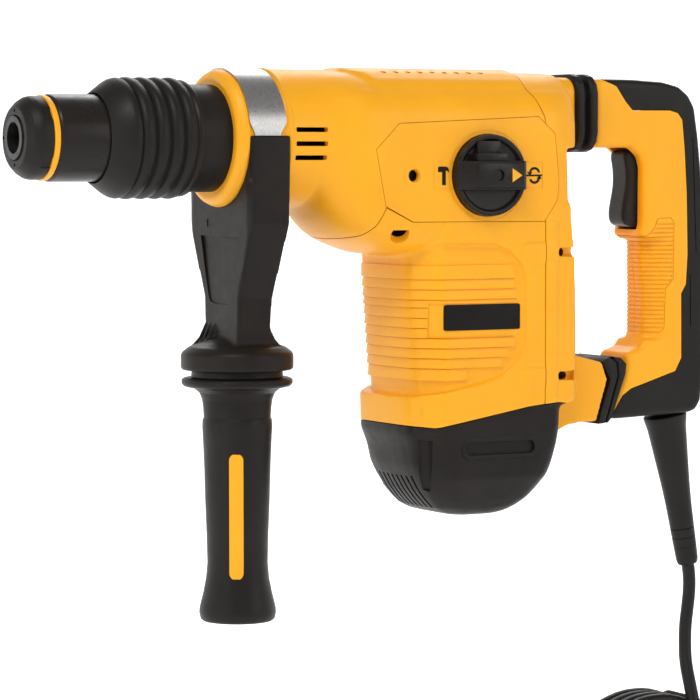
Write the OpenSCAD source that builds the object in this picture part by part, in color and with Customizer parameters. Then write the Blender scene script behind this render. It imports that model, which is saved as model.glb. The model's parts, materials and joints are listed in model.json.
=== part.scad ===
// Corded demolition hammer with a swinging side handle and a floating rear handle.
// The tool axis is X: the socket's mouth is at the origin and the body lies towards +X.
// Z is up, and the selector knob is on the -Y side.

/* [Tool socket and chuck] */
// Bore radius of the tool socket
bore_r = 9.1; // [9:0.05:9.3]
// Length of the plain bore behind the mouth
bore_len = 40; // [30:1:40]
// Outer radius of the front collar
front_r = 25.3; // [24.5:0.1:25.4]
// Outer radius of the ribbed release sleeve
sleeve_r = 35.5; // [35:0.1:36]
// Rear end of the release sleeve
sleeve_end = 106; // [104:1:108]

/* [Body] */
// Outer radius of the yellow barrel
barrel_r = 41; // [40.9:0.1:42]
// Front face of the barrel's flange
barrel_front = 124.4; // [124:0.1:126]
// Half width of the upper body at its side panels
body_half = 46; // [45:0.5:47]
// Half width of the motor housing
motor_half = 42.5; // [42:0.5:44]
// Wall thickness of the plastic covers
wall = 3; // [2.5:0.5:3]
// Seam between the motor housing and the rear cover
seam_x = 330; // [328:1:332]

/* [Side handle] */
// Distance of the side handle's axis behind the socket mouth
side_x = 143; // [142:0.5:144]
// Radius of the grip at its thickest
grip_r = 20.4; // [20:0.1:21]
// Bottom of the grip, below the tool axis
grip_bottom = -286.7; // [-290:1:-280]

/* [Rear handle] */
// Half width of the rear handle
handle_half = 17; // [16:0.5:18]

/* [Selector] */
// Radius of the selector knob
knob_r = 24.5; // [24:0.1:25]

/* [Cord] */
// Outside diameter of the supply cord
cord_d = 8.5; // [8:0.1:9]

/* [Hidden] */
$fn = 96;

yellow = [0.98, 0.72, 0.17];
black = [0.17, 0.16, 0.15];
steel = [0.62, 0.60, 0.58];
cast = [0.70, 0.70, 0.72];
copper = [0.72, 0.45, 0.25];

// Running clearance, and the gap that keeps loose neighbours apart
run = 0.05;
gap = 0.3;

// Chuck
holder_r = 20;
mouth_r = 12.5;
ring_x = 15.7;
collar_x = 19.2;
collar_end = 64;
roller_x = 67;
roller_len = 16;
roller_r = 5;
roller_y = 14.9;
holder_end = 116;
tube_r = 21;
tube_bore = 17;
tube_end = 224;
index_x = 214;
index_len = 8;
index_teeth = 18;
ribs = 6;
rib_pitch = 6.6;
rib_x = 63;

// Impact mechanism: crank axis, motor axis, crank radius and piston positions
crank_x = 255;
motor_x = 290;
crank_throw = 14;
pin_x = crank_x + crank_throw;
piston_x = 192;
wrist_x = 207;
gear_z = -26.5;
disc_top = -13.3;
gear_module = 1.25;
gear_teeth = 48;
pinion_teeth = 8;

// Body
neck_r = 31.6;
neck_bore = 27.5;
groove_r = 40.2;
groove_x = 128.6;
groove_end = 157.6;
deck_z = -40;
deck_h = 12;
panel_z = -50;

// Selector
knob_x = 288.5;
knob_z = -22;
crank_e = 7;
// Front of the lock slide, 1 mm more than its travel behind the index gear
slide_x = index_x + index_len + 2 * crank_e + 1;

// Side handle
band_x = 131.2;
band_len = 24;
rim_z = -126.5;
rim_r = 33.5;
lower_z = -141;

// Rear handle
pivot_x = 378;
pivot_z = -154;
trig_x = 432;
trig_z = -10;

// Cord: exit, route down to the tie, and the coil's centre
coil_x = 435;
coil_z = -412;
coil_mid = 47;
coil_half = 17.5;
cord_y = -(coil_half + cord_d / 2 + 0.4);
route = [[467.2, 0, -272], [468.3, 0, -280], [468.4, 0, -289], [467, -0.5, -299],
  [464.5, -2, -310], [462, -5, -322], [460, -9, -334], [459, -14.5, -346],
  [459, -19, -358], [459.5, cord_y, -370], [461, cord_y, -382], [463.5, cord_y, -393],
  [466, cord_y, -404], [467.3, -20.5, -415], [465.8, -18.3, -427],
  [460.5, -15.4, -438], [453, -13.2, -447]];
// The tail leaves the outermost turn and hangs straight down to the plug
tail_x = coil_x + 55.6;
tail_y = 12.9;
tail_end = -464;
tail = [[tail_x, tail_y, -430], [tail_x, tail_y, -441], [tail_x, tail_y, -452],
  [tail_x, tail_y, tail_end]];

function arc(cx, cy, r, a0, a1, n = 6) =
  [for (i = [0:n]) [cx + r * cos(a0 + (a1 - a0) * i / n), cy + r * sin(a0 + (a1 - a0) * i / n)]];
function rounded(x0, y0, x1, y1, r) = concat(arc(x0 + r, y0 + r, r, 180, 270),
  arc(x1 - r, y0 + r, r, 270, 360), arc(x1 - r, y1 - r, r, 0, 90), arc(x0 + r, y1 - r, r, 90, 180));
// Right half of a closed outline, mirrored about the vertical
function both(half) = concat(half, [for (i = [len(half) - 1:-1:0]) [-half[i].x, half[i].y]]);

// Solids of revolution about X and about a vertical axis; points are [radius, place]
module turn_x(pts) { rotate([0, 90, 0]) rotate_extrude() polygon(pts); }
module turn_z(x, pts) { translate([x, 0, 0]) rotate_extrude() polygon(pts); }
module rod_x(x0, x1, r) { translate([x0, 0, 0]) rotate([0, 90, 0]) cylinder(h = x1 - x0, r = r); }
module rod_y(x, z, y0, y1, r) {
  translate([x, y1, z]) rotate([90, 0, 0]) cylinder(h = y1 - y0, r = r);
}
module rod_z(x, y, z0, z1, r) { translate([x, y, z0]) cylinder(h = z1 - z0, r = r); }
module box(x0, x1, y0, y1, z0, z1) {
  translate([x0, y0, z0]) cube([x1 - x0, y1 - y0, z1 - z0]);
}
// Outlines given as [x, z], [y, z] and [x, y], extruded across the third axis
module side_plate(pts, y0, y1) {
  translate([0, y1, 0]) rotate([90, 0, 0]) linear_extrude(y1 - y0) polygon(pts);
}
module front_plate(pts, x0, x1) {
  translate([x0, 0, 0]) rotate([90, 0, 90]) linear_extrude(x1 - x0) polygon(pts);
}
module plan_plate(pts, z0, z1) { translate([0, 0, z0]) linear_extrude(z1 - z0) polygon(pts); }

// A round tube swept along points, as one closed faceted solid
function unit(v) = v / norm(v);
function heading(p, i) = unit(p[min(i + 1, len(p) - 1)] - p[max(i - 1, 0)]);
function across(t) = unit(cross(t, abs(t.y) < 0.9 ? [0, 1, 0] : [1, 0, 0]));
function hoop(c, t, r, n) = let (u = across(t), v = cross(t, u))
  [for (k = [0:n - 1]) c + r * cos(360 * k / n) * u + r * sin(360 * k / n) * v];
module swept(p, r, n = 10) {
  rings = len(p);
  verts = [for (i = [0:rings - 1]) each hoop(p[i], heading(p, i), r, n)];
  sides = [for (i = [0:rings - 2]) for (k = [0:n - 1]) let (a = i * n + k, b = i * n + (k + 1) % n)
    each [[a, b, b + n], [a, b + n, a + n]]];
  first = [for (k = [n - 1:-1:0]) k];
  last = [for (k = [0:n - 1]) (rings - 1) * n + k];
  polyhedron(verts, concat([first], sides, [last]), convexity = 6);
}
module coil_spring(x0, x1, y, z, mean_r, wire_r, turns, steps = 14) {
  swept([for (i = [0:turns * steps]) [x0 + (x1 - x0) * i / (turns * steps),
    y + mean_r * sin(360 * i / steps), z + mean_r * cos(360 * i / steps)]], wire_r, 8);
}

// ---- Chuck and hammer tube ----
module tool_holder() {
  color(steel) difference() {
    turn_x([[bore_r, 0], [mouth_r, 0], [mouth_r, 14], [16, 14], [16, 22], [holder_r, 22],
      [holder_r, holder_end], [12.6, holder_end], [12.6, 88], [10.6, 84], [10.6, bore_len],
      [bore_r, bore_len]]);
    for (s = [-1, 1])
      translate([roller_x - 0.4, s * 15 - 7, -roller_r - 0.2])
        cube([roller_len + 0.8, 14, 2 * roller_r + 0.4]);
  }
}
module nose_cap() {
  color(black) difference() {
    turn_x([[mouth_r, 0.8], [17, 0.8], [21.5, 4], [24, 9.5], [24, ring_x], [16, ring_x],
      [16, 14], [mouth_r, 14]]);
    for (a = [45:90:315])
      rotate([a, 0, 0]) translate([-1, 19, -2]) cube([6, 6, 4]);
  }
}
module nose_ring() {
  color(yellow) turn_x([[16, ring_x], [24, ring_x], [24.6, ring_x + 0.8],
    [24.6, collar_x - 0.8], [24, collar_x], [16, collar_x]]);
}
module front_collar() {
  color(black) turn_x([[16, collar_x], [front_r - 1, collar_x], [front_r, collar_x + 1],
    [front_r, collar_end], [holder_r, collar_end], [holder_r, 22], [16, 22]]);
}
module locking_rollers() {
  color(steel) for (s = [-1, 1])
    translate([0, s * roller_y, 0]) rod_x(roller_x, roller_x + roller_len, roller_r);
}
module hammer_tube() {
  color(steel) turn_x([[tube_bore, holder_end], [tube_r, holder_end], [tube_r, tube_end],
    [tube_bore, tube_end]]);
}
module index_gear() {
  color(steel) difference() {
    turn_x([[tube_r, index_x], [26, index_x], [26, index_x + index_len],
      [tube_r, index_x + index_len]]);
    for (i = [0:index_teeth - 1])
      rotate([i * 360 / index_teeth + 10, 0, 0])
        translate([index_x - 1, 23.6, -1.9]) cube([index_len + 2, 6, 3.8]);
  }
}
// Ribs are flat-topped rings with a shallow groove between each pair
module release_sleeve() {
  crest = rib_pitch * 0.62;
  rib_profile = [for (i = [0:ribs - 1]) each [[sleeve_r - 1.8, rib_x + i * rib_pitch],
    [sleeve_r, rib_x + i * rib_pitch + 0.9], [sleeve_r, rib_x + i * rib_pitch + crest],
    [sleeve_r - 1.8, rib_x + i * rib_pitch + crest + 0.9]]];
  color(black) turn_x(concat([[front_r + 0.4, 49.7], [front_r + 1.2, 49.7], [33.7, 60.5]],
    rib_profile, [[sleeve_r, 104], [sleeve_r - 1.5, sleeve_end], [32.2, sleeve_end],
    [32.2, 84], [20.6, 84], [20.6, 65], [front_r + 0.4, 65]]));
}
module sleeve_spring() {
  color(steel) coil_spring(86.5, 94.5, 0, 0, 24, 1.2, 2);
}

// ---- Impact mechanism ----
module striker() {
  color(steel) turn_x([[0, 90], [8, 90], [9.5, 91.5], [9.5, 98], [12.55, 100], [12.55, 114],
    [9, 117], [9, 128], [0, 128]]);
}
module ram() {
  color(steel) turn_x([[0, 150], [12, 150], [tube_bore - run, 153], [tube_bore - run, 164],
    [16, 164], [16, 168], [tube_bore - run, 168], [tube_bore - run, 180], [0, 180]]);
}
module piston() {
  color(cast) difference() {
    rod_x(piston_x, 224, tube_bore - run);
    rod_x(199, 225, 13.5);
    translate([195, 0, 0]) ring_groove();
    rod_z(wrist_x, 0, -20, 20, 3.5);
  }
}
module ring_groove() {
  difference() {
    rod_x(-1, 1, 20);
    rod_x(-1.5, 1.5, 15.4);
  }
}
module piston_seal() {
  color(black) turn_x([[15.4, 194.1], [16.9, 194.1], [16.9, 195.9], [15.4, 195.9]]);
}
module wrist_pin() {
  color(steel) rod_z(wrist_x, 0, -14.8, 14.8, 3.5);
}
module conrod() {
  color(steel) difference() {
    union() {
      rod_z(wrist_x, 0, -5, 5, 6.6);
      rod_z(pin_x, 0, -6, 6, 9);
      box(wrist_x, pin_x, -3.5, 3.5, -4, 4);
    }
    rod_z(wrist_x, 0, -8, 8, 3.5 + run);
    rod_z(pin_x, 0, -8, 8, 5);
  }
}
module crank_pin() {
  color(steel) rod_z(pin_x, 0, disc_top + gap, 7, 5);
}
module gear_tooth(root_r, tip_r, root_half, tip_half, z0, z1) {
  plan_plate([[root_r - 1, -root_half], [tip_r, -tip_half], [tip_r, tip_half],
    [root_r - 1, root_half]], z0, z1);
}
module crank_gear() {
  pitch_r = gear_module * gear_teeth / 2;
  color(steel) translate([crank_x, 0, 0]) {
    rod_z(0, 0, gear_z, -17, pitch_r - 1.5);
    rod_z(0, 0, -17.5, disc_top, 21.5);
    rod_z(0, 0, -56, gear_z + 1, 8);
    for (i = [0:gear_teeth - 1])
      rotate([0, 0, i * 360 / gear_teeth])
        gear_tooth(pitch_r - 1.5, pitch_r + 0.9, 1.0, 0.5, gear_z, -17);
  }
}

// ---- Motor ----
module motor_shaft() {
  pitch_r = gear_module * pinion_teeth / 2;
  color(steel) translate([motor_x, 0, 0]) {
    rod_z(0, 0, -182, gear_z, 5 - run);
    rod_z(0, 0, gear_z - 1, -16, pitch_r - 1.6);
    for (i = [0:pinion_teeth - 1])
      rotate([0, 0, (i + 0.5) * 360 / pinion_teeth])
        gear_tooth(pitch_r - 1.6, pitch_r + 0.9, 1.0, 0.45, gear_z - 0.5, -16);
  }
}
module armature_core() {
  color(steel) turn_z(motor_x, [[5 - run, -124], [14, -124], [16, -118], [21, -116], [21, -78],
    [16, -76], [14, -70], [5 - run, -70]]);
}
module commutator() {
  color(copper) turn_z(motor_x, [[5 - run, -154], [13, -154], [13, -136], [5 - run, -136]]);
}
module cooling_fan() {
  color(black) {
    turn_z(motor_x, [[5 - run, -62], [27, -60], [27, -58.5], [9, -58.5], [9, -48], [5 - run, -48]]);
    for (i = [0:8])
      translate([motor_x, 0, 0]) rotate([0, 0, i * 40]) box(8.5, 27, -0.8, 0.8, -59, -50);
  }
}
module stator() {
  color(steel) difference() {
    rod_z(motor_x, 0, -122, -74, 34.5);
    rod_z(motor_x, 0, -123, -73, 22);
  }
}
module motor_bearings() {
  color(steel) for (z = [-40, -180])
    turn_z(motor_x, [[5, z], [11, z], [11, z + 9], [5, z + 9]]);
}
module crank_bearing() {
  color(steel) turn_z(crank_x, [[8 + run, deck_z], [14, deck_z], [14, deck_z + deck_h],
    [8 + run, deck_z + deck_h]]);
}
module spindle_bearing() {
  color(steel) turn_x([[tube_r + run, 132], [29, 132], [29, 146], [tube_r + run, 146]]);
}
// Aluminium casting: a ring round the spindle bearing and a deck under the crank
module gear_case() {
  color(cast) difference() {
    union() {
      rod_x(131, 150, 37);
      plan_plate([[149, -11], [215, -11], [223, -33], [326, -33], [326, 33], [223, 33],
        [215, 11], [149, 11]], deck_z + 5, deck_z + deck_h);
      rod_z(crank_x, 0, deck_z, deck_z + deck_h, 18);
      rod_z(motor_x, 0, deck_z, deck_z + deck_h, 15);
    }
    rod_x(130, 151, 29);
    rod_z(crank_x, 0, deck_z - 1, deck_z + deck_h + 1, 14);
    rod_z(motor_x, 0, deck_z - 1, deck_z + deck_h + 1, 11);
  }
}

// ---- Covers ----
module neck_tube() {
  color(black) turn_x([[neck_bore, 97], [neck_r, 97], [neck_r, 125.5], [33.4, 125.5],
    [33.4, 131], [neck_bore, 131]]);
}
module front_seal() {
  color(black) turn_x([[tube_r + gap, 119], [neck_bore, 119], [neck_bore, 126],
    [tube_r + gap, 126]]);
}
function body_section(t) = both([[10, 42 - t], [20, 39.8 - t], [29, 35.2 - t], [34.5 - t, 30.5],
  [37.5 - t, 29], [42 - t, 23], [body_half - t, 12], [body_half - t, panel_z], [motor_half - t, -75]]);
cover_side = [[124, -80], [124, 45], [206, 45], [225, 60], [seam_x, 60], [seam_x, panel_z],
  [222, panel_z], [197, -62], [186, -50], [178, -80]];
module barrel_ring() {
  turn_x([[33.5, barrel_front], [39.6, barrel_front], [40.6, barrel_front + 1.2],
    [40.6, groove_x], [groove_r, groove_x], [groove_r, groove_end], [barrel_r, groove_end],
    [barrel_r, 214], [37.2, 214], [37.2, 131], [33.5, 131]]);
}
module barrel_slots() {
  for (s = [-1, 1])
    for (z = [5, -3.2, -11.4])
      translate([162, s * 40 - 6, z - 1.4]) cube([20, 12, 2.8]);
}
module gear_cover() {
  color(yellow) difference() {
    union() {
      difference() {
        barrel_ring();
        barrel_slots();
      }
      difference() {
        intersection() {
          front_plate(body_section(0), 206, seam_x);
          side_plate(cover_side, -60, 60);
        }
        front_plate(body_section(wall), 209, seam_x + 1);
        rod_x(200, 215, 37.2);
      }
      chin();
    }
    for (s = [-1, 1])
      translate([0, s * (body_half - 1), 0]) side_plate(panel_outline, -2.2, 2.2);
    rod_y(knob_x, knob_z, -60, -30, 22);
    for (i = [0:7])
      translate([233 + i * 10.5, 0, 35])
        rotate([0, 35, 0]) for (s = [-1, 1]) translate([0, s * 18 - 9, -8]) cube([2, 18, 22]);
  }
}
// Sloping underside between the barrel and the motor housing
module chin() {
  difference() {
    intersection() {
      front_plate(both([[30, -20], [38, -30], [38, -50], [26, -66]]), 176, 222);
      side_plate([[176, -20], [222, -20], [222, panel_z], [197, -62], [186, -50], [176, -41]],
        -60, 60);
    }
    front_plate(both([[30 - wall, -10], [35, -28], [35, -48], [24, -70]]), 179, 223);
    rod_x(170, 223, 37.2);
  }
}
panel_outline = [[211, -9], [229, 9], [325, 13], [336, 3], [340, -33], [329, -49], [237, -49],
  [220, -39]];
module side_panel_left() {
  color(yellow) difference() {
    panel();
    rod_y(knob_x, knob_z, -60, -30, 6 + run);
    rod_y(238, knob_z, -60, -45.2, 5);
  }
}
module side_panel_right() {
  color(yellow) mirror([0, 1, 0]) panel();
}
module panel() {
  side_plate(panel_outline, -body_half, -body_half + 3.1);
}
motor_side = [[222, panel_z], [197, -62], [205, -63.5], [212.6, -65], [223, -70], [240.5, -71.5],
  [242, -77], [246.5, -149], [240.5, -156], [240.5, -176], [300, -176], [seam_x, -166],
  [seam_x, panel_z]];
// Plan with a narrow flat front, slanting flanks and straight sides
function nosed(x, half_flat, half, x_end) = [[x, -half_flat], [x + half - half_flat, -half],
  [x_end, -half], [x_end, half], [x + half - half_flat, half], [x, half_flat]];
module motor_housing() {
  plan = nosed(240.5, 27, motor_half, 380);
  plan_in = nosed(249.5, 31, motor_half - wall, 380);
  color(yellow) difference() {
    intersection() {
      side_plate(motor_side, -60, 60);
      union() {
        plan_plate(plan, -180, -71);
        plan_plate([[197, -26], [206, -36], [224, -body_half], [380, -body_half],
          [380, body_half], [224, body_half], [206, 36], [197, 26]], -72, panel_z);
        plan_plate(nosed(240.5, 27, body_half, 380), -180, -156);
      }
    }
    difference() {
      plan_plate(plan_in, -181, panel_z + 1);
      motor_spider();
    }
    box(200, 256, -34, 34, -61, panel_z + 1);
    for (s = [-1, 1]) translate([232, s * (motor_half + 1) - 2.5, -150]) cube([84, 5, 72]);
  }
}
// Plate with a ring that holds the lower motor bearing and the brush gear
module motor_spider() {
  difference() {
    plan_plate(rounded(228, -44, seam_x, 44, 8), -182, -158);
    rod_z(motor_x, 0, -190, -171, 11);
    rod_z(motor_x, 0, -190, -150, 7);
    plan_plate(rounded(220, -50, 400, 50, 4), -200, -184);
    plan_plate(rounded(220, -50, 400, 50, 4), -169, -150);
    for (a = [45:90:315])
      translate([motor_x, 0, 0]) rotate([0, 0, a]) plan_plate(rounded(18, -11, 70, 11, 6), -190, -150);
  }
}
rear_outer = [[seam_x, 42.5], [355, 39], [372, 39.5], [372, -4], [347, -6], [349, -47],
  [352, -72], [355, -126], [360, -132], [388, -139], [392, -150], [383, -177], [358, -176],
  [seam_x, -166]];
rear_inner = [[seam_x - 1, 39.5], [354, 36], [369, 36.5], [369, -1], [344, -3], [346, -47],
  [349, -72], [352, -128], [359, -135.5], [385, -142], [388.5, -150], [380.5, -174],
  [359, -173], [seam_x - 1, -163]];
module rear_cover() {
  color(yellow) difference() {
    union() {
      intersection() {
        side_plate(rear_outer, -60, 60);
        union() {
          box(seam_x, 356, -body_half, body_half, -200, 50);
          box(350, 395, -20, 20, -200, 50);
        }
        front_plate(both([[14, 43], [24, 40], [34, 33], [body_half, 12], [body_half, -180]]),
          seam_x, 400);
      }
    }
    difference() {
      intersection() {
        side_plate(rear_inner, -60, 60);
        union() {
          box(seam_x - 2, 353, -body_half + wall, body_half - wall, -200, 50);
          box(350, 390, -17, 17, -200, 50);
        }
        front_plate(both([[12, 39], [23, 37], [33, 30], [body_half - wall, 10],
          [body_half - wall, -180]]), seam_x - 2, 400);
      }
      for (s = [-1, 1]) translate([0, s * 14, 0]) box(366, 388, -3.2, 3.2, -175, -139);
    }
    box(380, 400, -10.5, 10.5, -171, -141);
    rod_y(pivot_x, pivot_z, -17, 17, 4);
    box(366, 375, -14, 14, 2, 34);
    for (s = [-1, 1])
      translate([0, s * (body_half - 1), 0]) side_plate(panel_outline, -2.2, 2.2);
  }
}
cap_side = [[240.5, -176.3], [244.8, -186], [251, -201], [258.5, -213], [265.5, -222],
  [279, -227], [288, -230], [323, -229], [333, -223], [340, -206], [345, -188], [345, -171.7],
  [seam_x, -166.3], [300, -176.3]];
cap_front = both([[28, -231], [36, -222], [42, -200], [body_half, -176], [body_half, -160]]);
cap_side_in = [[244.3, -176], [248.3, -187], [254.3, -199.5], [261.5, -211], [268, -219],
  [280, -224], [288.5, -227], [322.5, -226], [330.5, -220.5], [336.8, -204], [341.5, -188],
  [341.5, -168], [seam_x, -163], [300, -173]];
// Plan of the cap: the motor housing's front with the rear corners cut off
function cap_plan(x, half_flat, half, x_end, cut) = [[x, -half_flat],
  [x + half - half_flat, -half], [x_end - cut, -half], [x_end, -half + cut],
  [x_end, half - cut], [x_end - cut, half], [x + half - half_flat, half], [x, half_flat]];
module bottom_cap() {
  color(black) difference() {
    intersection() {
      side_plate(cap_side, -60, 60);
      front_plate(cap_front, 220, 380);
      plan_plate(cap_plan(240.5, 27, body_half, 345, 13), -240, -160);
    }
    intersection() {
      side_plate(cap_side_in, -60, 60);
      front_plate(both([[26, -228], [34, -220], [39, -200], [body_half - 3, -176],
        [body_half - 3, -150]]), 220, 380);
      plan_plate(cap_plan(244, 25.5, body_half - 3, 342, 12), -240, -160);
    }
    for (i = [0:5]) translate([262 + i * 6, 0, -228]) rotate([0, 25, 0])
      for (s = [-1, 1]) translate([-1, s * 24 - 9, -8]) cube([2, 18, 18]);
  }
}
module brush_holders() {
  color([0.55, 0.35, 0.2]) for (s = [-1, 1]) difference() {
    translate([motor_x, s * 25, -145]) cube([12, 20, 14], center = true);
    translate([motor_x, s * 25, -145]) cube([7, 30, 9], center = true);
  }
}
module carbon_brushes() {
  color([0.2, 0.2, 0.22]) for (s = [-1, 1])
    translate([motor_x, s * (13.3 + 7), -145]) cube([6.9, 14, 8.9], center = true);
}
module cover_screws() {
  color(steel) for (p = [[336, -80], [336, -150]]) for (s = [-1, 1])
    translate([p.x, s * 38, p.y]) rotate([0, 90, 0]) {
      cylinder(h = 8, r = 2, $fn = 24);
      translate([0, 0, 8]) cylinder(h = 3, r = 4, $fn = 24);
    }
}

// ---- Selector ----
module mode_knob() {
  color(black) {
    rod_y(knob_x, knob_z, -51, -body_half - gap, knob_r);
    difference() {
      box(knob_x - 26, knob_x + 26, -58, -50, knob_z - 9, knob_z + 9);
      difference() {
        rod_y(knob_x, knob_z, -65, -45, 40);
        rod_y(knob_x, knob_z, -66, -44, 26);
      }
    }
    rod_y(knob_x, knob_z, -body_half - gap, -41, 6);
    rod_y(knob_x + crank_e, knob_z, -41.5, -34.5, 2.5);
    rod_y(knob_x, knob_z, -41.9, -40.9, crank_e + 3);
  }
}
module lock_slide() {
  color(steel) difference() {
    union() {
      box(slide_x, 308, -38, -34.6, knob_z - 6, knob_z + 6);
      box(284, 308, -38, -34.6, knob_z - 15, knob_z + 15);
      box(slide_x, slide_x + 5, -38, -34.6, knob_z, -4);
      box(slide_x, slide_x + 5, -38, -25.5, -12.5, -4);
    }
    box(knob_x + crank_e - 4.6, knob_x + crank_e + 4.6, -39, -33, knob_z - 11, knob_z + 11);
  }
}

// ---- Side handle ----
module clamp_band() {
  color(steel) intersection() {
    turn_x([[groove_r + run, band_x], [groove_r + 1.3, band_x], [groove_r + 1.3, band_x + band_len],
      [groove_r + run, band_x + band_len]]);
    union() {
      box(100, 200, -60, 60, 9, 60);
      side_plate([[134, 1.5], [151, 1.5], [151, 3], [band_x + band_len, 9],
        [band_x, 9], [134, 3]], -60, 60);
    }
  }
}
module clamp_bolt() {
  color(steel) {
    rod_z(side_x, 0, -165, -70, 4);
    rod_z(side_x, 0, -76, -70, 7);
  }
}
base_front = both([[groove_r + 1.6, 1.5], [40.3, -50], [22.5, -94], [21, -124]]);
module handle_base() {
  color(black) difference() {
    union() {
      difference() {
        intersection() {
          front_plate(base_front, 120, 170);
          side_plate([[131.4, 1.5], [157.3, 1.5], [157.3, -49], [154.5, -106], [154.5, rim_z],
            [132.2, rim_z], [132.2, -94], [131.4, -50]], -60, 60);
        }
        rod_x(120, 170, groove_r + run);
      }
      turn_z(side_x, [[4, -108], [16, -108], [20, -118], [rim_r, rim_z], [rim_r, -137],
        [4, -137]]);
    }
    rod_z(side_x, 0, -140, -66, 4);
    rod_z(side_x, 0, -77, -66, 7);
    box(129, 133.6, -20, 20, -97, -58);
  }
}
module handle_damper() {
  color(black) turn_z(side_x, [[6, -137], [27, -137], [27, lower_z], [6, lower_z]]);
}
module grip_core() {
  color(black) turn_z(side_x, [[4 + run, lower_z - gap], [33, lower_z - gap], [33, -146],
    [25, -148], [20.5, -154], [19.5, -171], [15, -171], [15, -270], [0, -270], [0, -180],
    [4 + run, -180]]);
}
module grip_sleeve() {
  color(black) turn_z(side_x, [[15, -171], [grip_r, -171], [grip_r, -180], [19.2, -215],
    [17.8, -252], [20.5, -270], [23.1, -280], [21.5, grip_bottom], [0, grip_bottom], [0, -270],
    [15, -270]]);
}

// ---- Rear handle ----
function handle_outline(t) = [[398, 37.7 - t], [413, 37.2 - t], [438, 35.9 - t], [455 - t, 32.6 - t],
  [466 - t, 21], [469 - t, 1.5], [473.5 - t, -34], [474 - t, -70], [474 - t, -145],
  [470 - t, -170 + t], [464 - t, -173 + t], [430, -174 + t], [404, -175 + t], [399, -165],
  [408, -141], [407, -133.5], [418, -130], [423, -121], [423, -60], [429, -56], [429, -10],
  [424, -5], [398, -5]];
skin_zone = [[391, 60], [391, 36.7], [405, 28], [412, 18], [445, 17], [449, 8], [450, -86],
  [453, -110], [450, -122], [450, -145], [446, -152], [407, -160.5], [402, -190], [500, -190],
  [500, 60]];
handle_hollow = [[402, 31], [436, 30], [450, 26], [460, 14], [464, -6], [466.5, -34],
  [467, -142], [462, -165], [414, -167.5], [412, -160], [414, -146], [428, -136], [431, -122],
  [431, -62], [437, -56], [437, 0], [402, 0]];
module handle_half(s) {
  skin = 2.5;
  color(yellow) difference() {
    union() {
      side_plate(handle_outline(skin), min(0, s * (handle_half - skin)), max(0, s * (handle_half - skin)));
      difference() {
        side_plate(handle_outline(0), min(0, s * handle_half), max(0, s * handle_half));
        side_plate(skin_zone, -30, 30);
      }
      handle_stubs(s);
    }
    side_plate(handle_hollow, -handle_half + 5, handle_half - 5);
    box(374, 403, -9, 9, 6, 30);
    rod_y(pivot_x, pivot_z, -30, 30, 4 + run);
    box(420, 438, -12.3, 12.3, -60.5, -2);
    rod_y(trig_x, trig_z, -15.5, 15.5, 2);
    relief_socket();
  }
}
module handle_stubs(s) {
  box(376, 400, min(0, s * 12), max(0, s * 12), 2, 34);
  side_plate([[385, -145], [412, -143], [412, -167], [385, -163]], min(0, s * 9), max(0, s * 9));
  rod_y(pivot_x, pivot_z, min(0, s * 9), max(0, s * 9), 9);
}
module relief_socket() {
  translate([448.5, 0, -176]) rotate([0, -10.7, 0]) translate([0, 0, -6]) cylinder(h = 18, r = 9);
}
module handle_left() {
  handle_half(-1);
}
module handle_right() {
  handle_half(1);
}
module handle_overmould() {
  color(black) difference() {
    intersection() {
      side_plate(handle_outline(0), -handle_half, handle_half);
      side_plate(skin_zone, -30, 30);
    }
    side_plate(handle_outline(2.5), -handle_half + 2.5, handle_half - 2.5);
    relief_socket();
  }
}
module trigger() {
  color(black) difference() {
    union() {
      side_plate([[410, -10], [414, -7], [428, -7], [431, -52], [427, -56], [414, -56],
        [408.5, -50], [411.5, -32]], -11.5, 11.5);
      rod_y(trig_x, trig_z, -11.5, 11.5, 4);
    }
    rod_y(trig_x, trig_z, -20, 20, 2 + run);
  }
}
module trigger_pin() {
  color(steel) rod_y(trig_x, trig_z, -15.5, 15.5, 2);
}
module switch_module() {
  color([0.25, 0.25, 0.28]) box(445, 463, -10, 10, -66, -12);
}
bellows_y = 20;
module bellows_ring(x0, x1, grow) {
  front_plate(rounded(-bellows_y - grow, -6 - grow, bellows_y + grow, 37.5 + grow, 9), x0, x1);
}
module upper_bellows() {
  color(black) difference() {
    union() {
      bellows_ring(372, 393.5, 0);
      bellows_ring(373.5, 380.5, 2);
      bellows_ring(385, 392, 2);
    }
    box(371, 395, -14, 14, -0.5, 36.4);
  }
}
module lower_bellows() {
  lean = [[392.3, -150], [388.4, -139], [394, -136], [406, -138.5], [407, -141.5],
    [397.6, -166], [393, -176], [383.4, -177.3]];
  color(black) difference() {
    side_plate(lean, -19, 19);
    side_plate([[380, -142], [420, -142], [420, -169], [380, -169]], -12, 12);
  }
}
module handle_spring() {
  color(steel) coil_spring(354.5, 371, 0, 18, 9, 1.4, 3);
}
module handle_pivot_pin() {
  color(steel) rod_y(pivot_x, pivot_z, -17, 17, 4);
}
module strain_relief() {
  relief_end = [467.2, 0, -272];
  relief_top = [448.5, 0, -174];
  length = norm(relief_end - relief_top);
  color(black) translate(relief_top) rotate([0, 180 - atan2(relief_end.x - relief_top.x,
    relief_top.z - relief_end.z), 0])
    rotate_extrude() polygon([[0, -8], [9, -8], [9, 1.5], [14, 1.5], [12.6, 8], [10.5, 30],
      [8.2, 60], [7, length - 2], [6.2, length], [0, length]]);
}

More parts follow.
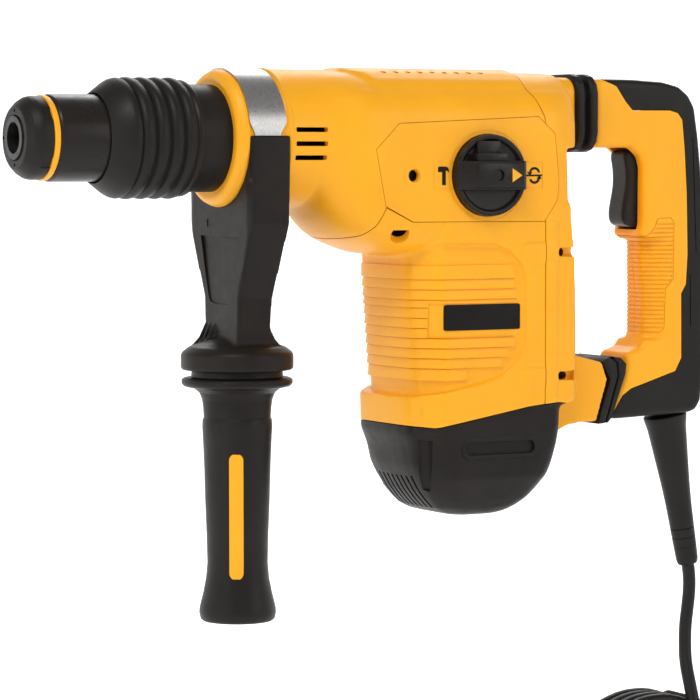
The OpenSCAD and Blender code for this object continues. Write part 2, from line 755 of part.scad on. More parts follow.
// ---- Cord ----
module cord() {
  color(black) {
    swept(route, cord_d / 2);
    swept(tail, cord_d / 2);
  }
}
module cord_coil() {
  color(black) translate([coil_x, 0, coil_z]) rotate([90, 0, 0])
    rotate_extrude() translate([coil_mid, 0])
      polygon(rounded(-13.5, -coil_half, 13.5, coil_half, 9));
}
module cord_tie() {
  color([0.25, 0.25, 0.27]) translate([coil_x, 0, coil_z]) rotate([0, -60, 0])
    translate([coil_mid, 0, 0]) difference() {
      linear_extrude(12, center = true) polygon(rounded(-16, -coil_half - 12, 16, coil_half + 2.5, 9));
      linear_extrude(13, center = true) polygon(rounded(-13.6, -coil_half - 9.4, 13.6, coil_half + 0.1, 8));
    }
}
module plug() {
  color(black) translate([tail_x, tail_y, tail_end]) rotate([0, 0, 90]) mirror([0, 0, 1]) {
    cylinder(h = 16, r = 6);
    linear_extrude(44) polygon(rounded(-9, -8, 9, 8, 6));
    translate([0, 0, 22]) linear_extrude(22) polygon(rounded(-18, -8.5, 18, 8.5, 8));
    for (s = [-1, 1]) translate([s * 9.5, 0, 44]) cylinder(h = 19, r = 2.4, $fn = 32);
  }
}

tool_holder();
nose_cap();
nose_ring();
front_collar();
locking_rollers();
hammer_tube();
index_gear();
release_sleeve();
sleeve_spring();
striker();
ram();
piston();
piston_seal();
wrist_pin();
conrod();
crank_pin();
crank_gear();
motor_shaft();
armature_core();
commutator();
cooling_fan();
stator();
motor_bearings();
crank_bearing();
spindle_bearing();
gear_case();
neck_tube();
front_seal();
gear_cover();
motor_housing();
rear_cover();
bottom_cap();
side_panel_left();
side_panel_right();
brush_holders();
carbon_brushes();
cover_screws();
mode_knob();
lock_slide();
clamp_band();
clamp_bolt();
handle_base();
handle_damper();
grip_core();
grip_sleeve();
upper_bellows();
lower_bellows();
handle_spring();
handle_pivot_pin();
handle_left();
handle_right();
handle_overmould();
trigger();
trigger_pin();
switch_module();
strain_relief();
cord();
cord_coil();
cord_tie();
plug();
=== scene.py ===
"""Corded demolition hammer: covers, grips, chuck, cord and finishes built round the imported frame.

Shapes are written in millimetres in the frame's own axes: X runs back from the tool socket,
Z is up and the selector knob is on the -Y side.
"""

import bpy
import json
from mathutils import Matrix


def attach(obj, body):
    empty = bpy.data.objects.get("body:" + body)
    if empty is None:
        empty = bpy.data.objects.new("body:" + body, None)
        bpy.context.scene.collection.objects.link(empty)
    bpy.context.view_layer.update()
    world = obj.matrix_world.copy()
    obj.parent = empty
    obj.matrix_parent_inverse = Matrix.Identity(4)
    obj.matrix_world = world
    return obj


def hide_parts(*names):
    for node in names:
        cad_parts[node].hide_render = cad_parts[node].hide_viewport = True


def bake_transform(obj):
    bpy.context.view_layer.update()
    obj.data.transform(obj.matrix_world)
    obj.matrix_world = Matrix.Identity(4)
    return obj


bl_info = {
    "name": "Demolition Hammer",
    "version": (1, 0, 0),
    "blender": (4, 5, 0),
    "location": "View3D > Sidebar > Hammer",
    "description": "Builds the covers, grips, chuck, cord and finishes of a demolition hammer",
    "category": "Object",
}

import json
import math

import bmesh
import bpy
from mathutils import Matrix, Vector

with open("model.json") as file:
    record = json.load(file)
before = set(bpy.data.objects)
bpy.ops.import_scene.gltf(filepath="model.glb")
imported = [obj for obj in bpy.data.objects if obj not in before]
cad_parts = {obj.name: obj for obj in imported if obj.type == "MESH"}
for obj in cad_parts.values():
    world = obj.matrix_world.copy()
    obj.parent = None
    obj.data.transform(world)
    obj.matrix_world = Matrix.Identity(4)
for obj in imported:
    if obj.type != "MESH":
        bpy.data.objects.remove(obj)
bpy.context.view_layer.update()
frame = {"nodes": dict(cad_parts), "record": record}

MM = 0.001


# Half depth of a cutting tool that has to reach past the body on both sides
FAR = 60


# ---- Working with objects ----
def deselect():
    """Object mode with nothing selected."""
    if bpy.context.object and bpy.context.object.mode != "OBJECT":
        bpy.ops.object.mode_set(mode="OBJECT")
    bpy.ops.object.select_all(action="DESELECT")


def pick(obj, *more):
    """obj active, and selected along with the others."""
    deselect()
    for o in (*more, obj):
        o.select_set(True)
    bpy.context.view_layer.objects.active = obj


def edit(obj):
    """Edit mode on obj with everything selected."""
    pick(obj)
    bpy.ops.object.mode_set(mode="EDIT")
    bpy.ops.mesh.select_all(action="SELECT")


def close_up(obj, gap=1e-7):
    """Merges doubles and turns the faces outwards."""
    edit(obj)
    bpy.ops.mesh.remove_doubles(threshold=gap)
    bpy.ops.mesh.dissolve_degenerate(threshold=gap)
    bpy.ops.mesh.normals_make_consistent(inside=False)
    deselect()
    return obj


def twin(obj, name):
    """A copy of obj with its own mesh."""
    pick(obj)
    bpy.ops.object.duplicate()
    copy = bpy.context.object
    copy.name = name
    return copy


def merge(name, obj, *others):
    """Joins several objects into one."""
    if others:
        pick(obj, *others)
        bpy.ops.object.join()
    obj.name = name
    return obj


def apply(obj, modifier):
    pick(obj)
    bpy.ops.object.modifier_apply(modifier=modifier.name)


def carve(obj, tool, how="DIFFERENCE", keep=False):
    """Cuts tool out of obj, or joins or intersects them."""
    before = len(obj.data.vertices)
    cut = obj.modifiers.new("Carve", "BOOLEAN")
    cut.operation, cut.object, cut.solver = how, tool, "MANIFOLD"
    rest = obj.data.copy()
    apply(obj, cut)
    if len(obj.data.vertices) in (0, before):
        obj.data = rest
        cut = obj.modifiers.new("Carve", "BOOLEAN")
        cut.operation, cut.object, cut.solver = how, tool, "EXACT"
        apply(obj, cut)
    if not obj.data.vertices:
        raise RuntimeError(f"{obj.name} is empty after {how} with {tool.name}")
    if not keep:
        bpy.data.objects.remove(tool)
    return obj


def mould(obj, voxel=1.2, smooth=8):
    """Turns joined solids into one moulded skin with soft edges."""
    skin = obj.modifiers.new("Skin", "REMESH")
    skin.mode, skin.voxel_size = "VOXEL", voxel * MM
    apply(obj, skin)
    soft = obj.modifiers.new("Soft", "SMOOTH")
    soft.factor, soft.iterations = 0.5, smooth
    apply(obj, soft)
    return obj


def hollow(obj, wall, voxel=2.6):
    """Leaves a wall of this thickness round an empty inside."""
    core = twin(obj, "core")
    mould(core, voxel, 2)
    inset = core.modifiers.new("Inset", "DISPLACE")
    inset.strength, inset.mid_level = -wall * MM, 0
    apply(core, inset)
    mould(core, voxel, 2)
    return carve(obj, core)


def bevel(obj, width, segments=2, angle=32):
    """Rounds every edge sharper than the angle."""
    round_off = obj.modifiers.new("Round", "BEVEL")
    round_off.width, round_off.segments = width * MM, segments
    round_off.limit_method, round_off.angle_limit = "ANGLE", math.radians(angle)
    round_off.use_clamp_overlap = True
    apply(obj, round_off)
    return obj


# ---- Outlines ----
def both(half):
    """A right half outline with its mirror image."""
    return [*half, *[(-a, b) for a, b in reversed(half)]]


def rounded(x0, y0, x1, y1, r, steps=5):
    """Rectangle with round corners."""
    points = []
    for cx, cy, start in ((x0 + r, y0 + r, 180), (x1 - r, y0 + r, 270), (x1 - r, y1 - r, 0), (x0 + r, y1 - r, 90)):
        for i in range(steps + 1):
            a = math.radians(start + 90 * i / steps)
            points.append((cx + r * math.cos(a), cy + r * math.sin(a)))
    return points


def disc(cx, cy, r, steps=32):
    turns = [2 * math.pi * i / steps for i in range(steps)]
    return [(cx + r * math.cos(a), cy + r * math.sin(a)) for a in turns]


def polar(r, angle):
    """Point at this radius and angle in degrees."""
    return r * math.cos(math.radians(angle)), r * math.sin(math.radians(angle))


def corner_cut(points, passes=2):
    """Smooths a closed outline by cutting its corners."""
    for _ in range(passes):
        cut = []
        for i, p in enumerate(points):
            q = points[(i + 1) % len(points)]
            cut.append(tuple(0.75 * a + 0.25 * b for a, b in zip(p, q)))
            cut.append(tuple(0.25 * a + 0.75 * b for a, b in zip(p, q)))
        points = cut
    return points


def grow(outline, d):
    """The outline moved outwards by d, or inwards where d is negative."""
    n = len(outline)
    area = sum(outline[i][0] * outline[(i + 1) % n][1] - outline[(i + 1) % n][0] * outline[i][1] for i in range(n))
    side = d if area > 0 else -d
    moved = []
    for i in range(n):
        a, b, c = Vector(outline[i - 1]), Vector(outline[i]), Vector(outline[(i + 1) % n])
        u, v = (b - a).normalized(), (c - b).normalized()
        n1, n2 = Vector((u.y, -u.x)), Vector((v.y, -v.x))
        out = (n1 + n2).normalized()
        moved.append(tuple(b + out * (side / max(0.35, out.dot(n1)))))
    return moved


def fillet(profile, r, steps=4):
    """Rounds the corners of a closed outline with small arcs of about radius r."""
    points, n = [], len(profile)
    for i in range(n):
        a, b, c = (Vector(profile[(i + k) % n]) for k in (-1, 0, 1))
        u, v = a - b, c - b
        if u.length < 1e-6 or v.length < 1e-6 or (abs(b.x) < 1e-6 and (abs(a.x) < 1e-6 or abs(c.x) < 1e-6)):
            points.append(tuple(b))
            continue
        t = min(r, 0.45 * u.length, 0.45 * v.length)
        p, q = b + u.normalized() * t, b + v.normalized() * t
        for k in range(steps + 1):
            s = k / steps
            points.append(tuple((1 - s) ** 2 * p + 2 * s * (1 - s) * b + s * s * q))
    return points


def outward(side, inner, outer=FAR):
    """Y range from inner to outer on one side of the middle plane."""
    return sorted((side * inner, side * outer))


# ---- Solids ----
def prism(name, outline, axis, lo, hi):
    """Solid with this outline on the plane across the axis, drawn from lo to hi."""
    deselect()
    bpy.ops.mesh.primitive_circle_add(vertices=len(outline), radius=MM, fill_type="NGON")
    obj = bpy.context.object
    obj.name = name
    for v, (a, b) in zip(obj.data.vertices, outline):
        v.co = Vector({"X": (lo, a, b), "Y": (a, lo, b), "Z": (a, b, lo)}[axis]) * MM
    edit(obj)
    step = [0.0, 0.0, 0.0]
    step["XYZ".index(axis)] = (hi - lo) * MM
    bpy.ops.mesh.extrude_region_move(TRANSFORM_OT_translate={"value": step})
    bpy.ops.mesh.select_all(action="SELECT")
    bpy.ops.mesh.normals_make_consistent(inside=False)
    deselect()
    return obj


def slab(name, outline, half=FAR):
    """Solid with this side view, as deep on one side of the middle plane as on the other."""
    return prism(name, outline, "Y", -half, half)


def lathe(name, profile, axis="X", centre=(0, 0, 0), steps=128):
    """Solid of revolution: profile points are (radius, place) round the axis through the centre."""
    deselect()
    bpy.ops.mesh.primitive_circle_add(vertices=len(profile), radius=MM, fill_type="NOTHING")
    obj = bpy.context.object
    obj.name = name
    cx, cy, cz = centre
    for v, (r, h) in zip(obj.data.vertices, profile):
        v.co = Vector({"X": (h, cy, cz + r), "Y": (cx + r, h, cz), "Z": (cx + r, cy, h)}[axis]) * MM
    edit(obj)
    turn = {"X": (1, 0, 0), "Y": (0, 1, 0), "Z": (0, 0, 1)}[axis]
    bpy.ops.mesh.spin(steps=steps, angle=2 * math.pi, center=Vector(centre) * MM, axis=turn)
    deselect()
    return close_up(obj, 2e-6)


def loft(name, rings):
    """Closed skin drawn through rings of equally many points, capped at both ends."""
    across, along = len(rings[0]), len(rings)
    deselect()
    bpy.ops.mesh.primitive_grid_add(x_subdivisions=across, y_subdivisions=along - 1, size=1)
    obj = bpy.context.object
    obj.name = name
    for row, ring in enumerate(rings):
        for col in range(across + 1):
            obj.data.vertices[row * (across + 1) + col].co = Vector(ring[col % across]) * MM
    edit(obj)
    bpy.ops.mesh.remove_doubles(threshold=1e-7)
    bpy.ops.mesh.select_all(action="SELECT")
    bpy.ops.mesh.fill_holes(sides=0)
    bpy.ops.mesh.select_all(action="SELECT")
    bpy.ops.mesh.normals_make_consistent(inside=False)
    deselect()
    return obj


def block(name, x0, x1, y0, y1, z0, z1):
    return prism(name, [(x0, y0), (x1, y0), (x1, y1), (x0, y1)], "Z", z0, z1)


def rod(name, start, end, r0, r1=None, steps=32):
    """Round bar or cone between two points."""
    a, b = Vector(start), Vector(end)
    turn = (b - a).to_track_quat("Z", "Y").to_matrix()
    rings = []
    for at, r in ((a, r0), (b, r0 if r1 is None else r1)):
        rings.append([tuple(at + turn @ Vector((x, y, 0))) for x, y in disc(0, 0, r, steps)])
    return loft(name, rings)


def finish_piece(obj, body, finish, *nodes, angle=34):
    """Gives a piece its finish, shades it smooth by angle, hangs it on its body and hides the CAD nodes that it stands
    for.
    """
    pick(obj)
    bpy.ops.object.shade_smooth_by_angle(angle=math.radians(angle))
    obj.data.materials.clear()
    obj.data.materials.append(finish_of(finish))
    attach(obj, body)
    if nodes:
        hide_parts(*nodes)
    return obj


# ---- Settings ----
def colour(name, about, value):
    return bpy.props.FloatVectorProperty(
        name=name, description=about, subtype="COLOR", size=3, min=0, max=1, default=value
    )


def length(name, about, value):
    return bpy.props.FloatProperty(name=name, description=about, default=value, min=0, unit="LENGTH")


class HammerColours(bpy.types.PropertyGroup):
    """Base colours of the finishes."""

    yellow: colour("Yellow shells", "Colour of the moulded yellow covers", (0.86, 0.375, 0.010))
    black: colour("Black plastic", "Colour of the moulded black parts", (0.0125, 0.0100, 0.0085))
    rubber: colour("Black rubber", "Colour of the soft grips and bellows", (0.0105, 0.0088, 0.0076))
    band: colour("Clamp band", "Colour of the steel clamp band", (0.74, 0.69, 0.68))
    steel: colour("Steel", "Colour of the ground steel parts", (0.42, 0.41, 0.40))
    ink: colour("Signs", "Colour of the printed signs", (0.006, 0.005, 0.0045))


class HammerSizes(bpy.types.PropertyGroup):
    """Sizes that a user may change."""

    cord: length("Cord diameter", "Outside diameter of the supply cord", 0.0085)
    rib_height: length("Rib height", "How far the ribs stand out of the motor housing", 0.0014)
    seam: length("Seam", "Half width of the gap between two covers", 0.0003)


# ---- Finishes ----
def node_tree(name):
    """An empty material with its shader, and short ways to add and join nodes."""
    material = bpy.data.materials.new(name)
    material.use_nodes = True
    tree = material.node_tree
    shader = tree.nodes["Principled BSDF"]
    place = tree.nodes.new("ShaderNodeTexCoord").outputs["Object"]

    def noise(scale, detail=3.0, rough=0.55, stretch=None):
        node = tree.nodes.new("ShaderNodeTexNoise")
        node.inputs["Scale"].default_value = scale
        node.inputs["Detail"].default_value = detail
        node.inputs["Roughness"].default_value = rough
        source = place
        if stretch:
            mapping = tree.nodes.new("ShaderNodeMapping")
            mapping.inputs["Scale"].default_value = stretch
            tree.links.new(place, mapping.inputs["Vector"])
            source = mapping.outputs["Vector"]
        tree.links.new(source, node.inputs["Vector"])
        return node.outputs["Fac"]

    def spread(source, low, high, start=0.3, end=0.7):
        node = tree.nodes.new("ShaderNodeMapRange")
        for socket, value in zip(("From Min", "From Max", "To Min", "To Max"), (start, end, low, high)):
            node.inputs[socket].default_value = value
        tree.links.new(source, node.inputs["Value"])
        return node.outputs["Result"]

    def blend_colours(source, first, second):
        node = tree.nodes.new("ShaderNodeMix")
        node.data_type = "RGBA"
        node.inputs["A"].default_value = (*first, 1)
        node.inputs["B"].default_value = (*second, 1)
        tree.links.new(source, node.inputs["Factor"])
        return node.outputs["Result"]

    def relief(source, strength, depth, under=None):
        node = tree.nodes.new("ShaderNodeBump")
        node.inputs["Strength"].default_value = strength
        node.inputs["Distance"].default_value = depth
        tree.links.new(source, node.inputs["Height"])
        if under:
            tree.links.new(under, node.inputs["Normal"])
        return node.outputs["Normal"]

    return material, tree, shader, noise, spread, blend_colours, relief


def shade(c, k):
    return tuple(min(1.0, x * k) for x in c)


def plastic(name, base, rough, grain, strength, mottle, gloss):
    """Moulded plastic: fine eroded grain, faint flow marks and uneven gloss."""
    material, tree, shader, noise, spread, blend_colours, relief = node_tree(name)
    drift = spread(noise(26, 4), 0, 1)
    tree.links.new(
        blend_colours(drift, shade(base, 1 - mottle), shade(base, 1 + mottle)), shader.inputs["Base Color"]
    )
    tree.links.new(spread(noise(140, 4), rough - 0.05, rough + 0.06), shader.inputs["Roughness"])
    waves = relief(noise(95, 2), 0.05, 0.0004)
    tree.links.new(relief(noise(grain, 3, 0.6), strength, 0.0002, waves), shader.inputs["Normal"])
    shader.inputs["Specular IOR Level"].default_value = gloss
    return material


def metal(name, base, rough, stretch, blotch, bump, metallic):
    """Worked metal: tool marks along one way, blotches and small scratches."""
    material, tree, shader, noise, spread, blend_colours, relief = node_tree(name)
    patches = spread(noise(60, 6, 0.65), 0, 1)
    tree.links.new(
        blend_colours(patches, shade(base, 1 - blotch), shade(base, 1 + blotch)), shader.inputs["Base Color"]
    )
    marks = noise(420, 5, 0.6, stretch)
    tree.links.new(spread(marks, rough - 0.08, rough + 0.12), shader.inputs["Roughness"])
    tree.links.new(relief(marks, bump, 0.0002), shader.inputs["Normal"])
    shader.inputs["Metallic"].default_value = metallic
    return material


# Moulded finishes: material, base colour or the setting that holds it, roughness, grain, relief, mottle, gloss
PLASTICS = {
    "yellow": ("yellow_shell", "yellow", 0.40, 900, 0.10, 0.035, 0.26),
    "black": ("black_shell", "black", 0.42, 1100, 0.22, 0.18, 0.15),
    "satin": ("satin_black", "black", 0.30, 800, 0.10, 0.15, 0.20),
    "rubber": ("soft_rubber", "rubber", 0.44, 1500, 0.25, 0.2, 0.19),
    "cord": ("cord_sheath", "rubber", 0.42, 1300, 0.18, 0.2, 0.22),
    "carbon": ("carbon", (0.05, 0.05, 0.055), 0.5, 1800, 0.3, 0.2, 0.4),
    "ink": ("sign_ink", "ink", 0.5, 1200, 0.1, 0.1, 0.15),
}
# Metal finishes: material, base colour or its setting, roughness, stretch of the tool marks, blotches, relief, metallic
METALS = {
    "phosphated": ("phosphated_steel", (0.075, 0.072, 0.070), 0.42, (1, 1, 1), 0.2, 0.08, 1.0),
    "band": ("band_steel", "band", 0.44, (0.12, 0.12, 0.12), 0.08, 0.008, 0.2),
    "ground": ("ground_steel", "steel", 0.30, (6, 1, 1), 0.08, 0.05, 1.0),
    "bearing": ("bearing_steel", (0.55, 0.55, 0.56), 0.22, (1, 1, 8), 0.05, 0.03, 1.0),
    "cast": ("cast_alloy", (0.48, 0.48, 0.50), 0.55, (1, 1, 1), 0.12, 0.3, 1.0),
    "copper": ("copper", (0.72, 0.33, 0.16), 0.32, (1, 1, 6), 0.12, 0.08, 1.0),
    "brass": ("brass", (0.70, 0.48, 0.18), 0.30, (1, 1, 1), 0.10, 0.06, 1.0),
}


def finish_of(name):
    """The material of this finish, made when it is first asked for."""
    make, row = (plastic, PLASTICS[name]) if name in PLASTICS else (metal, METALS[name])
    title, base, *rest = row
    if title in bpy.data.materials:
        return bpy.data.materials[title]
    if isinstance(base, str):
        base = tuple(getattr(bpy.context.scene.hammer_colours, base))
    return make(title, base, *rest)


# Finish of each CAD node that stays in sight as it is, by the record's slot
SLOT_FINISHES = {
    "tool_steel": "phosphated",
    "bright_steel": "ground",
    "bearing_steel": "bearing",
    "yellow_plastic": "yellow",
    "black_plastic": "black",
    "black_rubber": "rubber",
    "cast_alloy": "cast",
    "copper": "copper",
    "brass": "brass",
    "carbon": "carbon",
    "switch_plastic": "satin",
}


# ---- Stage and camera ----
CAMERA_AT = (-0.7519, -1.7670, -0.0078)
CAMERA_VIEW = (0.4809, 0.8748, -0.0593)
LENS, SENSOR = 171.8, 36.0
LOOK_AT = (0.25, 0, -0.08)
WORLD_LIGHT = 0.34
# Glow of the paper behind the camera and behind the hammer, and where the one passes into the other along Y
PAPER_GLOW = (0.14, 0.62, -2.2, 0.6)
# Soft lights: name, place, size and power
LIGHTS = (
    ("key", (-1.2, -1.5, 2.6), (1.3, 1.0), 52),
    ("fill", (2.0, -2.4, 0.9), (1.0, 1.6), 15),
    ("front", (-2.3, -0.9, 0.3), (1.0, 1.6), 7),
    ("back", (1.6, 2.4, 2.0), (1.8, 1.2), 30),
)


FLOOR = [
    (0, -541), (5200, -541), (6600, -300), (7400, 500), (7500, 4200), (7530, 4200), (7430, 480), (6640, -330),
    (5220, -571), (0, -571)
]


class HammerStage(bpy.types.Operator):
    """Add the camera, the pale floor with its sweep, and the soft studio lights"""

    bl_idname = "hammer.stage"
    bl_label = "Stage"

    def execute(self, context):
        scene = context.scene
        deselect()
        bpy.ops.object.camera_add(location=CAMERA_AT)
        camera = context.object
        camera.rotation_mode = "QUATERNION"
        camera.rotation_quaternion = Vector(CAMERA_VIEW).to_track_quat("-Z", "Y")
        camera.data.lens, camera.data.sensor_width = LENS, SENSOR
        camera.data.clip_start, camera.data.clip_end = 0.05, 60.0
        scene.camera = camera

        # Floor: a wide sheet whose far edges turn up into a plain wall all round
        floor = lathe("floor", FLOOR, "Z", (250, 0, 0), 64)
        pick(floor)
        bpy.ops.object.shade_smooth()
        material, tree, shader, noise, spread, blend_colours, _ = node_tree("floor_paper")
        tree.links.new(
            blend_colours(noise(3, 2), (0.90, 0.90, 0.90), (0.93, 0.93, 0.93)), shader.inputs["Base Color"]
        )
        shader.inputs["Roughness"].default_value = 0.9
        shader.inputs["Emission Color"].default_value = (1, 1, 1, 1)
        split = tree.nodes.new("ShaderNodeSeparateXYZ")
        tree.links.new(tree.nodes["Texture Coordinate"].outputs["Object"], split.inputs["Vector"])
        tree.links.new(spread(split.outputs["Y"], *PAPER_GLOW), shader.inputs["Emission Strength"])
        floor.data.materials.append(material)

        world = bpy.data.worlds.new("studio")
        world.use_nodes = True
        world.node_tree.nodes["Background"].inputs["Color"].default_value = (1, 1, 1, 1)
        world.node_tree.nodes["Background"].inputs["Strength"].default_value = WORLD_LIGHT
        scene.world = world
        scene.view_settings.view_transform = "Standard"
        for name, place, size, power in LIGHTS:
            bpy.ops.object.light_add(type="AREA", location=place)
            light = context.object
            light.name = name
            light.data.shape = "RECTANGLE"
            light.data.size, light.data.size_y = size
            light.data.energy = power
            light.rotation_mode = "QUATERNION"
            light.rotation_quaternion = (Vector(LOOK_AT) - light.location).to_track_quat("-Z", "Y")
        return {"FINISHED"}


# ---- Cord ----
# Middle of the coil, radius of its innermost turn, and the distance from one turn to the next
COIL_X, COIL_Z = 435, -412
COIL_RADIUS = 38.4
PITCH = 8.6
ROUTE = [
    (467.2, 0, -272), (468.3, 0, -280), (468.4, 0, -289), (467, -0.5, -299), (464.5, -2, -310), (462, -5, -322),
    (460, -9, -334), (459, -14.5, -346), (459, -19, -358), (459.5, -22.15, -370), (461, -22.15, -382),
    (463.5, -22.15, -393), (466, -22.15, -404), (467.3, -20.5, -415), (465.8, -18.3, -427), (460.5, -15.4, -438)
]
# The coil's path by its turned angle in degrees: start, end, change of row, change of column
STEPS = [
    (300, 360, 0, 1), (660, 720, 0, 1), (1020, 1080, 0, 1), (1320, 1380, 1, 0), (1620, 1680, 0, -1),
    (1980, 2040, 0, -1), (2340, 2400, 0, -1), (2640, 2700, 1, 0), (2940, 3000, 0, 1), (3300, 3360, 0, 1),
    (3660, 3720, 0, 1)
]
COIL_START, COIL_TURNED = -63.0, 3897.0
COIL_POINTS = 216
CORD_EXIT = (467.2, 0, -272)


def coil_point(turned):
    """Point of the coil after this much winding."""
    row, column = 0.0, -1.5
    for start, end, d_row, d_column in STEPS:
        t = min(1.0, max(0.0, (turned - start) / (end - start)))
        row += d_row * t * t * (3 - 2 * t)
        column += d_column * t * t * (3 - 2 * t)
    r, a = COIL_RADIUS + PITCH * row, math.radians(COIL_START - turned)
    return (COIL_X + r * math.cos(a), PITCH * column, COIL_Z + r * math.sin(a))


PLUG_NECK = [(0, -460.5), (5.4, -460.5), (6.4, -466), (6.8, -478), (9, -482), (9, -486), (0, -486)]
PLUG_PIN = [(0, -506), (2.4, -506), (2.4, -524.6), (1.4, -526.6), (0, -526.9)]


class HammerCord(bpy.types.Operator):
    """Add the supply cord with its tied coil, strap and plug"""

    bl_idname = "hammer.cord"
    bl_label = "Cord"

    def execute(self, context):
        wide = context.scene.hammer_sizes.cord
        turns = [coil_point(COIL_TURNED * i / COIL_POINTS) for i in range(COIL_POINTS + 1)]
        tail_x, tail_y = turns[-1][0], turns[-1][1]
        tail = [(tail_x, tail_y, z) for z in (-424, -438, -452, -464)]
        points = [Vector(p) * MM for p in (*ROUTE, *turns, *tail)]
        curve = bpy.data.curves.new("cord_run", "CURVE")
        curve.dimensions = "3D"
        curve.bevel_depth, curve.bevel_resolution, curve.resolution_u = wide / 2, 3, 3
        curve.use_fill_caps = True
        line = curve.splines.new("BEZIER")
        line.bezier_points.add(len(points) - 1)
        for knot, p in zip(line.bezier_points, points):
            knot.co = p
            knot.handle_left_type = knot.handle_right_type = "AUTO"
        cord = bpy.data.objects.new("cord_run", curve)
        context.scene.collection.objects.link(cord)
        cord.data.materials.append(finish_of("cord"))
        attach(cord, "rear_handle")
        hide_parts("cord", "cord_coil")

        # Strap round the coil: a flat loop with a pinched buckle
        tie_at, tie_turn = Vector((COIL_X, 0, COIL_Z)), math.radians(60)
        outer = rounded(-15.2, -28.4, 15.2, 19.4, 9)
        inner = rounded(-13.5, -26.7, 13.5, 17.7, 8)
        strap = prism("coil_strap", outer, "Z", -6, 6)
        carve(strap, prism("strap_hole", inner, "Z", -7, 7))
        buckle = prism("buckle", rounded(-6, -30.6, 6, -27.5, 1.2), "Z", -7.5, 7.5)
        carve(buckle, prism("slot", rounded(-3.5, -31.5, 3.5, -29.4, 0.8), "Z", -5, 5))
        carve(strap, buckle, "UNION")
        bevel(strap, 0.5)
        lay = Matrix.Translation(tie_at * MM) @ Matrix.Rotation(-tie_turn, 4, "Y")
        lay @= Matrix.Translation((0.047, 0, 0))
        strap.data.transform(lay)
        finish_piece(strap, "rear_handle", "rubber", "cord_tie")

        # Plug: a moulded body with finger grooves, a neck and two pins
        plug = lathe("plug_body", fillet(PLUG_NECK, 1.2), "Z", (tail_x, tail_y, 0), 48)
        body = prism(
            "body", rounded(tail_x - 8.2, tail_y - 17.5, tail_x + 8.2, tail_y + 17.5, 7), "Z", -507.8, -484
        )
        shoulder = prism("shoulder", rounded(tail_x - 8, tail_y - 11, tail_x + 8, tail_y + 11, 6), "Z", -486, -476)
        merge("plug_body", plug, body, shoulder)
        mould(plug, 0.8, 5)
        for k in range(4):
            for s in (-1, 1):
                x, z = tail_x + s * 9.3, -489 - 4.2 * k
                carve(plug, rod("groove", (x, tail_y - 11, z), (x, tail_y + 11, z), 1.5, steps=12))
        finish_piece(plug, "rear_handle", "rubber", "plug")
        pins = None
        for s in (-1, 1):
            pin = lathe("pin", fillet(PLUG_PIN, 0.6), "Z", (tail_x, tail_y + 9.5 * s, 0), 32)
            pins = pin if pins is None else merge("plug_pins", pins, pin)
        finish_piece(pins, "rear_handle", "brass")
        return {"FINISHED"}


# ---- Body ----
# Angles of the barrel's outline that match the points of the upper body's half section
BARREL_ANGLES = (90, 76, 61, 46, 35, 26, 10, -4, -20, -38, -55, -72, -90)
BARREL_RADIUS = 41.35
UPPER_HALF = [
    (0, 40.6), (10, 40.3), (20, 38), (29, 33.4), (34.5, 29.2), (37.5, 27.6), (42, 22), (46, 12), (46, -12),
    (46, -32), (46, -50), (30, -56), (0, -56)
]
CHIN = [(46, -56), (36, -68), (0, -70)]
# Place along X, share of the full section, width factor, and the last three points under the chin
UPPER_STATIONS = [
    (158, 0, 1, None), (181, 0, 1, None), (188, 0.18, 1, [(30, -38), (20, -46), (0, -50)]),
    (197, 0.6, 1, [(37, -45), (25, -54.5), (0, -58)]), (206, 0.95, 1, [(43, -50), (29, -60), (0, -63)]),
    (214, 1, 1, [(46, -52), (32, -63), (0, -66)]), (224, 1, 1, [(46, -54), (34, -66), (0, -70)]), (236, 1, 1, CHIN),
    (270, 1, 1, CHIN), (330, 1, 1, CHIN), (338, 1, 1, CHIN), (344, 1, 0.957, CHIN), (350, 1, 0.913, CHIN),
    (357, 1, 0.8, CHIN)
]
HUMP_HALF = [(0, 42.4), (10, 42.2), (20, 40), (29, 35.4), (34, 31.2), (33, 28), (0, 28)]
SIDE_SHAPE = [
    (150, 46), (206, 46), (330, 43.2), (355, 39.4), (372, 39.5), (372, -4), (347, -6), (349, -47), (352, -72),
    (355, -126), (360, -132), (388, -139), (392, -150), (383, -177), (370, -178), (357, -183), (345, -184),
    (345, -240), (224, -240), (224, -70), (212.6, -65), (205, -63.5), (197, -62), (186, -50), (176, -42), (150, -42)
]
# Plan sections: height, front, half width of the flat front, half width of the sides, rear, size of the rear corners
COLUMN_RINGS = [
    (-40, 240.5, 28, 46, 356, 8), (-150, 240.5, 28, 46, 356, 8), (-160, 240.3, 28, 46, 356, 8),
    (-163, 240.5, 28, 46, 345.5, 10), (-177, 241, 28, 46, 345.5, 11), (-187, 245, 27.5, 45.4, 345, 13),
    (-197, 247, 27, 44.7, 342.8, 14), (-204, 250, 26.5, 43.9, 340.5, 14.5), (-206, 251, 26, 43.2, 339.8, 15),
    (-213, 255.2, 25, 38.8, 336, 15), (-219, 260, 23.5, 35.4, 331.5, 14.5), (-224, 265, 22, 31.6, 325.5, 14),
    (-227.4, 271.5, 20, 27.6, 319, 12), (-229.2, 280, 17, 23.4, 312, 10)
]
CORE_RINGS = [
    (-40, 240, 27, 42.6, 400, 4), (-70, 241.2, 27, 42.6, 400, 4), (-148, 247, 26, 42.6, 400, 4),
    (-158, 248, 26, 42.6, 400, 4)
]
RECESS = [
    (200, -71), (238.6, -71), (254, -64), (257, -62.8), (294, -63.3), (305.5, -67.8), (314, -76.5), (316.4, -84),
    (316.5, -121), (311.5, -133.4), (300, -143), (285.6, -147.4), (257, -152.6), (240, -155.5), (222, -151),
    (200, -149)
]
RECESS_HALF = 42.6
